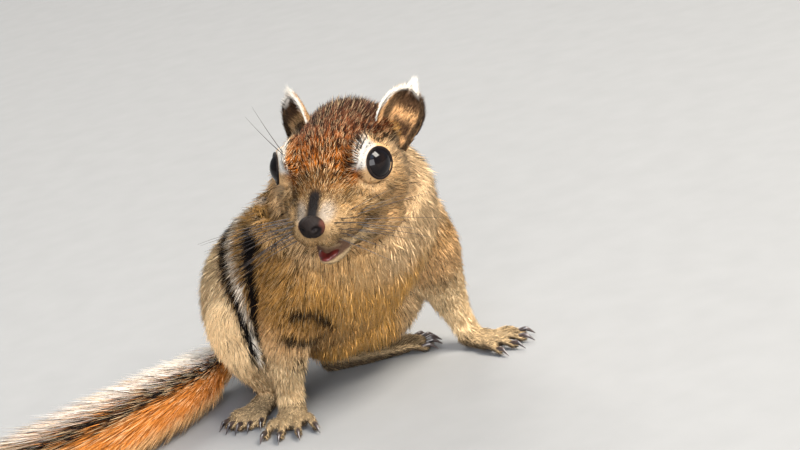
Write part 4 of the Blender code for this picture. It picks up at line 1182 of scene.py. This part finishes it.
def nose():
    """The bare nose pad: an ellipsoid with two comma nostrils sunk by a Gaussian of the
    distance to each comma, and a middle groove. The nostrils are painted near black and the
    groove darker, as painted shade."""
    points, faces = ball((0, 0, 0), (1, 1, 1), around=96)
    x, z = points[:, 0] * NOSE_R[0], points[:, 2] * NOSE_R[2]
    ahead = step(-points[:, 1], 0.0, 0.4)
    turn = np.clip(np.arctan2(z + 0.1, np.abs(x) - 1.7), -1.4, 2.2)
    comma = np.hypot(np.abs(x) - 1.7 - 0.75 * np.cos(turn), z + 0.1 - 0.75 * np.sin(turn))
    pit = np.exp(-(comma / 0.42) ** 2) * ahead
    groove = np.exp(-(x / 0.22) ** 2) * step(-z, -0.6, 0.4) * ahead
    size = 1 - 0.2 * pit - 0.08 * groove + 0.012 * np.sin(9 * x) * np.sin(11 * z)
    points = points * size[:, None] * NOSE_R * (1, 0.95, 1) + np.array(NOSE_AT)
    obj = mesh_object("nose_pad", in_frame(points, HEAD), faces)
    wing = mixed(srgb(22, 15, 12), srgb(84, 46, 36), step(np.abs(x), 2.1, 2.8) * 0.7)
    # Painted shade: the nostril pits near black and the middle groove darker
    wing = mixed(wing, srgb(9, 4, 4), np.clip(pit * 1.6, 0, 1))
    put_colours(obj.data, "Tint", mixed(wing, srgb(14, 9, 8), groove * 0.7))
    obj.data.materials.append(MATERIALS["nose"])
    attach(obj, "root")


def tongue():
    """A tongue low in the mouth, seen between the parted lips."""
    stations = (
        (0, -10.2, -13.9, 2.0, 0.6),
        (0, -12.4, -14.4, 2.4, 0.8),
        (0, -13.8, -14.6, 2.1, 0.7),
        (0, -14.8, -14.7, 1.3, 0.5),
    )
    obj = mesh_object("tongue", *tube(stations, HEAD, around=24))
    obj.data.materials.append(MATERIALS["lining"])
    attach(obj, "root")


def ear_axes(side):
    """The way an ear rises, the way it opens, and the way across it towards the outside."""
    rises = unit(on_side(EAR_RISES, side))
    opens = on_side(EAR_OPENS, side)
    opens = unit(opens - rises * (opens @ rises))
    return rises, opens, np.cross(rises, opens) * side


def ear_sheet(side, s, t, offset):
    """Points on an ear's cup at share s of its height and t across it, moved off it by
    offset: the half width is (0.86 + 0.5 s (1 - s)) sqrt(1 - 0.99 (s / top)^2.6) of the
    ear's, and both edges curl forward."""
    rises, opens, across = ear_axes(side)
    inside = np.clip(s, 0, 1)
    taper = np.sqrt(np.maximum(1 - 0.99 * (inside / EAR_TOP) ** 2.6, 0.01))
    half = EAR_WIDE / 2 * (0.86 + 0.5 * inside * (1 - inside)) * taper
    most = math.radians(72)
    curl = most * t
    deep = (3.2 - 1.6 * inside) * (1 - np.cos(curl)) / (1 - math.cos(most)) - 1.4 * inside**2
    wide = half * np.sin(curl) / math.sin(most) - offset * np.sin(curl * 0.7)
    deep = deep + offset * np.cos(curl * 0.7)
    return (np.array(on_side(EAR_AT, side)) + rises * (EAR_LONG * s)[..., None]
            + across * wide[..., None] + opens * deep[..., None])


def ear_colour(s, t, outer):
    """An ear's colours by height s and place t across it: tan, black near its outer edge,
    dark nearer its inner edge, and white at the inner edge and the tip. Its inner face has
    painted shade in the hollow of the cup above, and a dark notch at its foot."""
    c = srgb(190, 146, 100)
    if not outer:
        # Painted shade in the upper hollow of the cup, and a dark notch at the ear's foot
        cup = bump(t, 0.25, 0.42, 0.25) * step(s, 0.34, 0.52) * (1 - step(s, 0.76, 0.9))
        cup = np.maximum(cup, bump(t, 0.3, 0.3, 0.2) * bump(s, 0.0, 0.12, 0.12))
        c = mixed(c, srgb(54, 34, 22), cup * 0.92)
    c = mixed(c, BLACK, bump(t, 0.86, 0.1, 0.08) * 0.9 * (1 - step(s, 0.8, 1.0)))
    c = mixed(c, SEAL, bump(t, -0.45, 0.12, 0.12) * 0.8)
    white = np.maximum(step(-t, 0.72, 0.9) * step(s, 0.2, 0.5), step(s, 0.76, 0.88))
    return mixed(c, WHITE, white * 0.9)


def ear_bulb_at(side):
    """The middle of the round root that an ear stands on, in the head's frame."""
    return on_side(EAR_AT, side) + (-0.6 * side, 0.6, -1.2)


def ear_cup(side, tag):
    """An ear as a thin curled cup on a round root: two sheets, joined round their border."""
    rows, cols = 29, 33
    s = np.linspace(-0.34, EAR_TOP, rows)[:, None] + np.zeros((1, cols))
    t = np.linspace(-1, 1, cols)[None, :] + np.zeros((rows, 1))
    thin = np.sqrt(np.clip(1 - np.clip(s / EAR_TOP, 0, 1) ** 12, 0.03, 1))
    edge = np.sqrt(np.clip(1 - np.abs(t) ** 8, 0.03, 1)) * thin
    front = ear_sheet(side, s, t, EAR_THICK / 2 * edge)
    rear = ear_sheet(side, s, t, -EAR_THICK / 2 * edge)
    points = np.vstack([front.reshape(-1, 3), rear.reshape(-1, 3)])
    quads = grid_faces(rows, cols, wrap=False)
    half = rows * cols
    border = np.concatenate([
        np.arange(cols),
        np.arange(1, rows) * cols + cols - 1,
        (rows - 1) * cols + np.arange(cols - 2, -1, -1),
        np.arange(rows - 2, 0, -1) * cols,
    ])
    after = np.roll(border, -1)
    rim = np.stack([after, border, border + half, after + half], -1)
    sets = [quads, quads[:, ::-1] + half, rim]
    if side == 1:
        sets = [q[:, ::-1] for q in sets]
    bulb, bulb_faces = ball((0, 0, 0), EAR_BULB_R)
    bulb_points = in_frame(bulb + ear_bulb_at(side), HEAD)
    colours = [ear_colour(s, t, outer).reshape(-1, 3) * 0.6 for outer in (False, True)]
    colours.append(np.broadcast_to(TAWNY * 0.5, bulb.shape))
    shape = merged([(in_frame(points, HEAD), sets), (bulb_points, bulb_faces)])
    obj = mesh_object(f"ear_cup_{tag}", *shape)
    put_colours(obj.data, "Tint", np.vstack(colours))
    obj.data.materials.append(MATERIALS["coat"])
    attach(obj, "root")
    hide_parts(f"ear_{tag}")


def ear_nap(side, outer, chance):
    """Short hairs that lie up one face of an ear: their roots, ways out of the ear, lies,
    sizes, colours and places on the unwrap."""
    rises, _, across = ear_axes(side)
    count = EAR_HAIRS
    hs, ht = chance.uniform(-0.3, EAR_TOP * 0.99, count), chance.uniform(-0.98, 0.98, count)
    offset = np.full(count, -0.28 if outer else 0.28)
    spot = ear_sheet(side, hs, ht, offset)
    out = unit(ear_sheet(side, hs, ht, offset * 2) - spot)
    lie = unit(rises + across * ht[:, None] * 0.25 + chance.normal(0, 0.12, (count, 3)))
    size = np.stack([chance.uniform(0.8, 1.7, count), chance.uniform(0.13, 0.22, count),
                     chance.uniform(0.2, 0.5, count), np.zeros(count)], -1)
    ticks = np.where(chance.random(count) < 0.25, 0.12, chance.uniform(0.5, 1.45, count))
    tint = ear_colour(hs, ht, outer) * ticks[:, None]
    high = 0.26 + 0.12 * (side + 1) / 2 + 0.1 * hs
    patch = np.stack([0.75 + 0.1 * outer + 0.09 * (ht + 1) / 2, high], -1)
    return spot, out, square_to(lie, out), size, tint, patch


def ear_fringe(side, chance):
    """White hairs at an ear's tip and inner edge and dark ones at its outer edge, as six
    arrays like those of the nap."""
    rises, opens, across = ear_axes(side)
    count = EAR_FRINGE
    tip = chance.random(count) < 0.5
    dark = ~tip & (chance.random(count) < 0.35)
    hs = np.where(tip, chance.uniform(0.8, EAR_TOP, count), chance.uniform(0.0, 0.85, count))
    ht = np.where(tip, chance.uniform(-1.0, 1.0, count), chance.uniform(-1.0, -0.88, count))
    ht = np.where(dark, 0.96, ht)
    spot = ear_sheet(side, hs, ht, np.zeros(count))
    fan = np.where(tip, -0.15, 0.5)
    lie = unit(rises * 0.9 + across * (ht * fan)[:, None] + chance.normal(0, 0.12, spot.shape))
    out = square_to(-np.broadcast_to(opens, spot.shape), lie)
    peak = 1.0 + 2.7 * np.exp(-((ht - 0.25) / 0.38) ** 2)
    long = np.where(tip, peak, 1.3) * chance.uniform(0.5, 1.1, count)
    size = np.stack([long, np.full(count, 0.19), chance.uniform(-0.05, 0.3, count), np.zeros(count)], -1)
    tint = np.where(dark[:, None], SEAL, WHITE * chance.uniform(0.65, 1.05, count)[:, None])
    patch = np.stack([0.75 + 0.09 * (ht + 1) / 2, 0.5 + 0.1 * hs + 0.12 * (side + 1) / 2], -1)
    return spot, out, lie, size, tint, patch


def ear_root_hair(side, chance):
    """Hairs that lie back over an ear's round root, as six arrays like those of the nap."""
    count = EAR_BULB_HAIRS
    out = unit(chance.normal(0, 1, (count, 3)))
    lie = unit(np.array((0.0, 1.0, 0.2)) + chance.normal(0, 0.2, (count, 3)))
    size = np.stack([chance.uniform(1.0, 1.9, count), np.full(count, 0.18),
                     np.full(count, 0.45), np.zeros(count)], -1)
    tint = OLIVE * chance.uniform(0.5, 1.2, count)[:, None]
    patch = np.stack([0.96 + 0.02 * out[:, 0], 0.9 + 0.05 * out[:, 2]], -1)
    return ear_bulb_at(side) + out * EAR_BULB_R, out, square_to(lie, out), size, tint, patch


def ears():
    """Each ear as a cup, and its hairs in one piece: a nap on both faces, a fringe, and the
    hair of its root."""
    turn = HEAD[:3, :3].T
    for side, tag in SIDES:
        ear_cup(side, tag)
        chance = np.random.default_rng(EAR_SEED + side)
        parts = [ear_nap(side, outer, chance) for outer in (False, True)]
        parts += [ear_fringe(side, chance), ear_root_hair(side, chance)]
        root, out, lie, size, tint, patch = (np.vstack(arrays) for arrays in zip(*parts))
        obj = tuft_mesh(f"ear_coat_{tag}", in_frame(root, HEAD), out @ turn, lie @ turn, size,
                        [tint * 0.6, tint], np.clip(patch, 0, 0.99), rings=1)
        obj.data.materials.append(MATERIALS["coat"])
        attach(obj, "root")


def claws():
    """Eighteen curved claws, one at each toe's end."""
    for name, (_, _, claw_rows) in PAWS.items():
        shapes = [tube(rows, around=12, per_span=5) for rows in claw_rows]
        obj = mesh_object(f"claws_{name}", *merged(shapes))
        obj.data.materials.append(MATERIALS["claw"])
        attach(obj, "root")


def whiskers():
    """Whiskers from rows on the pads, and a few over the eyes: each runs from its root at r
    as r + way L t + sag L t^2, thinning to a point."""
    stations = []
    chance = np.random.default_rng(WHISKER_SEED)
    for side, _ in SIDES:
        reach = 22.0 if side == 1 else 34.0
        for row in range(4):
            for n in range(4 if row else 3):
                root = np.array((side * (3.6 + 0.75 * n), -15.2 + 1.5 * n, -5.4 - 1.15 * row))
                back = -0.28 + 0.22 * n if side == 1 else -0.5 + 0.12 * n
                way = np.array((side * (0.95 - 0.12 * n), back, 0.16 - 0.13 * row))
                way = unit(way + chance.normal(0, 0.07, 3))
                long = reach * chance.uniform(0.6, 1.0) * (0.68 + 0.1 * n)
                sag = np.array((0, 0.22 if side == 1 else 0.08, -0.14 - 0.03 * row))
                stations.append((root, way, long, sag))
        for n in range(2):
            root = np.array((side * (8.2 + 0.8 * n), -3.6 + 1.2 * n, 5.0))
            way = unit(np.array((side * 0.6, -0.1 + 0.3 * n, 0.75)) + chance.normal(0, 0.06, 3))
            stations.append((root, way, 11.0, np.array((side * 0.1, 0.2, 0.05))))
    shapes = []
    for root, way, long, sag in stations:
        t = np.linspace(0, 1, 9)[:, None]
        path = root + way * long * t + sag * long * t**2
        thick = 0.1 * (1 - t) + 0.018
        rows = np.hstack([path, thick, thick])
        shapes.append(tube(rows, HEAD, up=(0.1, 0.3, 0.95), around=6, per_span=2))
    obj = mesh_object("whiskers", *merged(shapes))
    obj.data.materials.append(MATERIALS["whisker"])
    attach(obj, "root")


# Materials

def new_material(name):
    """A material with its shader and output, and the means to add nodes."""
    material = bpy.data.materials.new(name)
    material.use_nodes = True
    tree = material.node_tree
    return material, tree.nodes, tree.links, tree.nodes["Principled BSDF"]


def strand_group():
    """Fine grain for coat and skin: varies a colour's brightness, and gives a roughness and a
    height for the bump, from noise on Object coordinates."""
    group = bpy.data.node_groups.new("Strands", "ShaderNodeTree")
    for way, names in (("INPUT", ("Scale", "Variation")), ("OUTPUT", ("Roughness", "Height"))):
        group.interface.new_socket("Colour", in_out=way, socket_type="NodeSocketColor")
        for name in names:
            group.interface.new_socket(name, in_out=way, socket_type="NodeSocketFloat")
    nodes, links = group.nodes, group.links
    start, end = nodes.new("NodeGroupInput"), nodes.new("NodeGroupOutput")
    place = nodes.new("ShaderNodeTexCoord")
    noise = nodes.new("ShaderNodeTexNoise")
    noise.inputs["Detail"].default_value = 3.0
    links.new(place.outputs["Object"], noise.inputs["Vector"])
    links.new(start.outputs["Scale"], noise.inputs["Scale"])
    centred = nodes.new("ShaderNodeMath")
    centred.operation = "SUBTRACT"
    centred.inputs[1].default_value = 0.5
    links.new(noise.outputs["Fac"], centred.inputs[0])
    gain = nodes.new("ShaderNodeMath")
    gain.operation = "MULTIPLY_ADD"
    gain.inputs[2].default_value = 1.0
    links.new(centred.outputs[0], gain.inputs[0])
    links.new(start.outputs["Variation"], gain.inputs[1])
    tint = nodes.new("ShaderNodeVectorMath")
    tint.operation = "SCALE"
    links.new(start.outputs["Colour"], tint.inputs[0])
    links.new(gain.outputs[0], tint.inputs["Scale"])
    rough = nodes.new("ShaderNodeMapRange")
    rough.inputs["To Min"].default_value = 0.55
    rough.inputs["To Max"].default_value = 0.85
    links.new(noise.outputs["Fac"], rough.inputs["Value"])
    links.new(tint.outputs[0], end.inputs["Colour"])
    links.new(rough.outputs["Result"], end.inputs["Roughness"])
    links.new(noise.outputs["Fac"], end.inputs["Height"])
    return group


def add_relief(nodes, links, shader, height, strength, distance):
    """Gives a shader a bump from a height socket, as deep as a distance in metres."""
    relief = nodes.new("ShaderNodeBump")
    relief.inputs["Strength"].default_value = strength
    relief.inputs["Distance"].default_value = distance
    links.new(height, relief.inputs["Height"])
    links.new(relief.outputs["Normal"], shader.inputs["Normal"])


def furred(name, attribute, scale, variation, strength, specular):
    """A material that takes its colour from a mesh's own markings, with the strands' grain."""
    material, nodes, links, shader = new_material(name)
    source = nodes.new("ShaderNodeAttribute")
    source.attribute_name = attribute
    grain = nodes.new("ShaderNodeGroup")
    grain.node_tree = STRANDS
    grain.inputs["Scale"].default_value = scale
    grain.inputs["Variation"].default_value = variation
    links.new(source.outputs["Color"], grain.inputs["Colour"])
    links.new(grain.outputs["Colour"], shader.inputs["Base Color"])
    links.new(grain.outputs["Roughness"], shader.inputs["Roughness"])
    add_relief(nodes, links, shader, grain.outputs["Height"], strength, 0.0002)
    shader.inputs["Specular IOR Level"].default_value = specular
    return material


def wet(name, dark, light, scale, low, high, coat_weight=0.0, ior=1.45):
    """A moist or horny surface: two colours by noise, its roughness between low and high."""
    material, nodes, links, shader = new_material(name)
    place = nodes.new("ShaderNodeTexCoord")
    noise = nodes.new("ShaderNodeTexNoise")
    noise.inputs["Scale"].default_value = scale
    noise.inputs["Detail"].default_value = 4.0
    links.new(place.outputs["Object"], noise.inputs["Vector"])
    ramp = nodes.new("ShaderNodeValToRGB")
    first, last = ramp.color_ramp.elements
    first.position, last.position = 0.35, 0.65
    first.color, last.color = (*dark, 1), (*light, 1)
    links.new(noise.outputs["Fac"], ramp.inputs["Fac"])
    links.new(ramp.outputs["Color"], shader.inputs["Base Color"])
    rough = nodes.new("ShaderNodeMapRange")
    rough.inputs["To Min"].default_value, rough.inputs["To Max"].default_value = low, high
    links.new(noise.outputs["Fac"], rough.inputs["Value"])
    links.new(rough.outputs["Result"], shader.inputs["Roughness"])
    add_relief(nodes, links, shader, noise.outputs["Fac"], 0.25, 0.0001)
    shader.inputs["IOR"].default_value = ior
    shader.inputs["Coat Weight"].default_value = coat_weight
    shader.inputs["Coat Roughness"].default_value = 0.05
    return material


STRANDS = strand_group()
MATERIALS = {
    "skin": furred("fur_skin", "Markings", 2600.0, 0.9, 0.6, 0.15),
    "coat": furred("fur_strands", "Tint", 900.0, 0.5, 0.1, 0.06),
    "eye": wet("eye_wet", (0.003, 0.0025, 0.003), (0.008, 0.005, 0.004), 300.0, 0.03, 0.08, ior=1.26),
    "rim": wet("lid_skin", (0.006, 0.005, 0.005), (0.014, 0.01, 0.009), 900.0, 0.35, 0.5, ior=1.12),
    "nose": furred("nose_skin", "Tint", 1500.0, 0.5, 0.5, 0.14),
    "whisker": wet("whisker_horn", srgb(20, 16, 15), srgb(58, 48, 42), 500.0, 0.3, 0.5),
    "lining": wet("mouth_lining", srgb(40, 10, 9), srgb(92, 30, 25), 500.0, 0.25, 0.4, 0.2),
    "claw": wet("claw_horn", srgb(22, 18, 18), srgb(70, 58, 54), 700.0, 0.2, 0.4, 0.4),
}


# Stage, light and camera

def stage():
    """A pale, faintly mottled floor that reaches four metres to each side."""
    steps = np.linspace(-4.0, 4.0, 9)
    grid = np.stack(np.meshgrid(steps, steps), -1).reshape(-1, 2)
    points = np.hstack([grid, np.zeros((len(grid), 1))]) / MM - SHIFT * (1, 1, 0)
    floor = mesh_object("floor", points, [grid_faces(9, 9, wrap=False)])
    material, nodes, links, shader = new_material("floor_paint")
    noise = nodes.new("ShaderNodeTexNoise")
    noise.inputs["Scale"].default_value = 90.0
    place = nodes.new("ShaderNodeTexCoord")
    links.new(place.outputs["Object"], noise.inputs["Vector"])
    ramp = nodes.new("ShaderNodeValToRGB")
    ramp.color_ramp.elements[0].color = (0.19, 0.188, 0.185, 1)
    ramp.color_ramp.elements[1].color = (0.215, 0.213, 0.209, 1)
    links.new(noise.outputs["Fac"], ramp.inputs["Fac"])
    links.new(ramp.outputs["Color"], shader.inputs["Base Color"])
    shader.inputs["Roughness"].default_value = 0.85
    floor.data.materials.append(material)


def soft_light(name, place, target, width, watts, colour):
    """A square area light at place, aimed at target, in row-frame millimetres."""
    data = bpy.data.lights.new(name, "AREA")
    data.shape, data.size, data.energy, data.color = "SQUARE", width * MM, watts, colour
    obj = bpy.data.objects.new(name, data)
    obj.location = Vector(place) * MM
    obj.rotation_euler = (Vector(target) - Vector(place)).to_track_quat("-Z", "Y").to_euler()
    bpy.context.scene.collection.objects.link(obj)


CAMERA_AZIMUTH, CAMERA_ELEVATION, CAMERA_ROLL = -32.0, 16.0, 13.0
CAMERA_DISTANCE, CAMERA_LENS = 520.0, 100.0
CAMERA_TARGET = (14.0, 0.0, 38.0)


def camera():
    """The camera at the photo's angle: azimuth and elevation round the target, then rolled."""
    a, e, r = (math.radians(v) for v in (CAMERA_AZIMUTH, CAMERA_ELEVATION, CAMERA_ROLL))
    back = np.array((math.sin(a) * math.cos(e), -math.cos(a) * math.cos(e), math.sin(e)))
    right = np.array((math.cos(a), math.sin(a), 0.0))
    up = np.cross(back, right)
    rolled_right = right * math.cos(r) - up * math.sin(r)
    rolled_up = up * math.cos(r) + right * math.sin(r)
    place = (np.array(CAMERA_TARGET) + SHIFT + back * CAMERA_DISTANCE) * MM
    matrix = np.eye(4)
    matrix[:3] = np.stack([rolled_right, rolled_up, back, place], -1)
    data = bpy.data.cameras.new("camera")
    data.lens = CAMERA_LENS
    data.clip_start = 0.01
    obj = bpy.data.objects.new("camera", data)
    obj.matrix_world = Matrix(matrix.tolist())
    bpy.context.scene.collection.objects.link(obj)
    bpy.context.scene.camera = obj


def lights():
    """Broad studio lights: a warm key high in front, a low fill and a bluish window in front
    on the other side, a back light, and a low pale sky all round."""
    middle = tuple(np.array((0.0, 10.0, 35.0)) + SHIFT)
    soft_light("key", (450, -1000, 1350), middle, 800, 86.0, (1.0, 0.95, 0.86))
    soft_light("fill", (-800, -1250, 420), middle, 1000, 38.0, (0.98, 0.98, 1.0))
    soft_light("window", (-500, -900, 1500), middle, 1100, 15.0, (0.5, 0.7, 1.0))
    soft_light("back", (400, 1200, 1200), middle, 1000, 26.0, (1.0, 0.98, 0.95))
    world = bpy.data.worlds.new("sky")
    bpy.context.scene.world = world
    world.use_nodes = True
    world.node_tree.nodes["Background"].inputs["Color"].default_value = (0.86, 0.92, 1.0, 1)
    world.node_tree.nodes["Background"].inputs["Strength"].default_value = 0.3
    bpy.context.scene.view_settings.view_transform = "Standard"


# Nodes that the skin stands in for
FLESH = (
    "head", "lower_jaw", "neck", "torso",
    "foreleg_upper_left", "foreleg_upper_right", "foreleg_lower_left", "foreleg_lower_right",
    "forefoot_left", "forefoot_right", "hindleg_left", "hindleg_right",
    "hindfoot_left", "hindfoot_right",
)


def main():
    """Builds the stage and every piece."""
    stage()
    camera()
    lights()
    body = skin()
    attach(body, "root")
    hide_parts(*FLESH)
    for piece in coat(body):
        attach(piece, "root")
    eyes()
    eyelids()
    nose()
    tongue()
    ears()
    claws()
    whiskers()
    for piece in tail_hair():
        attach(piece, "root")
        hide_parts("tail")


main()
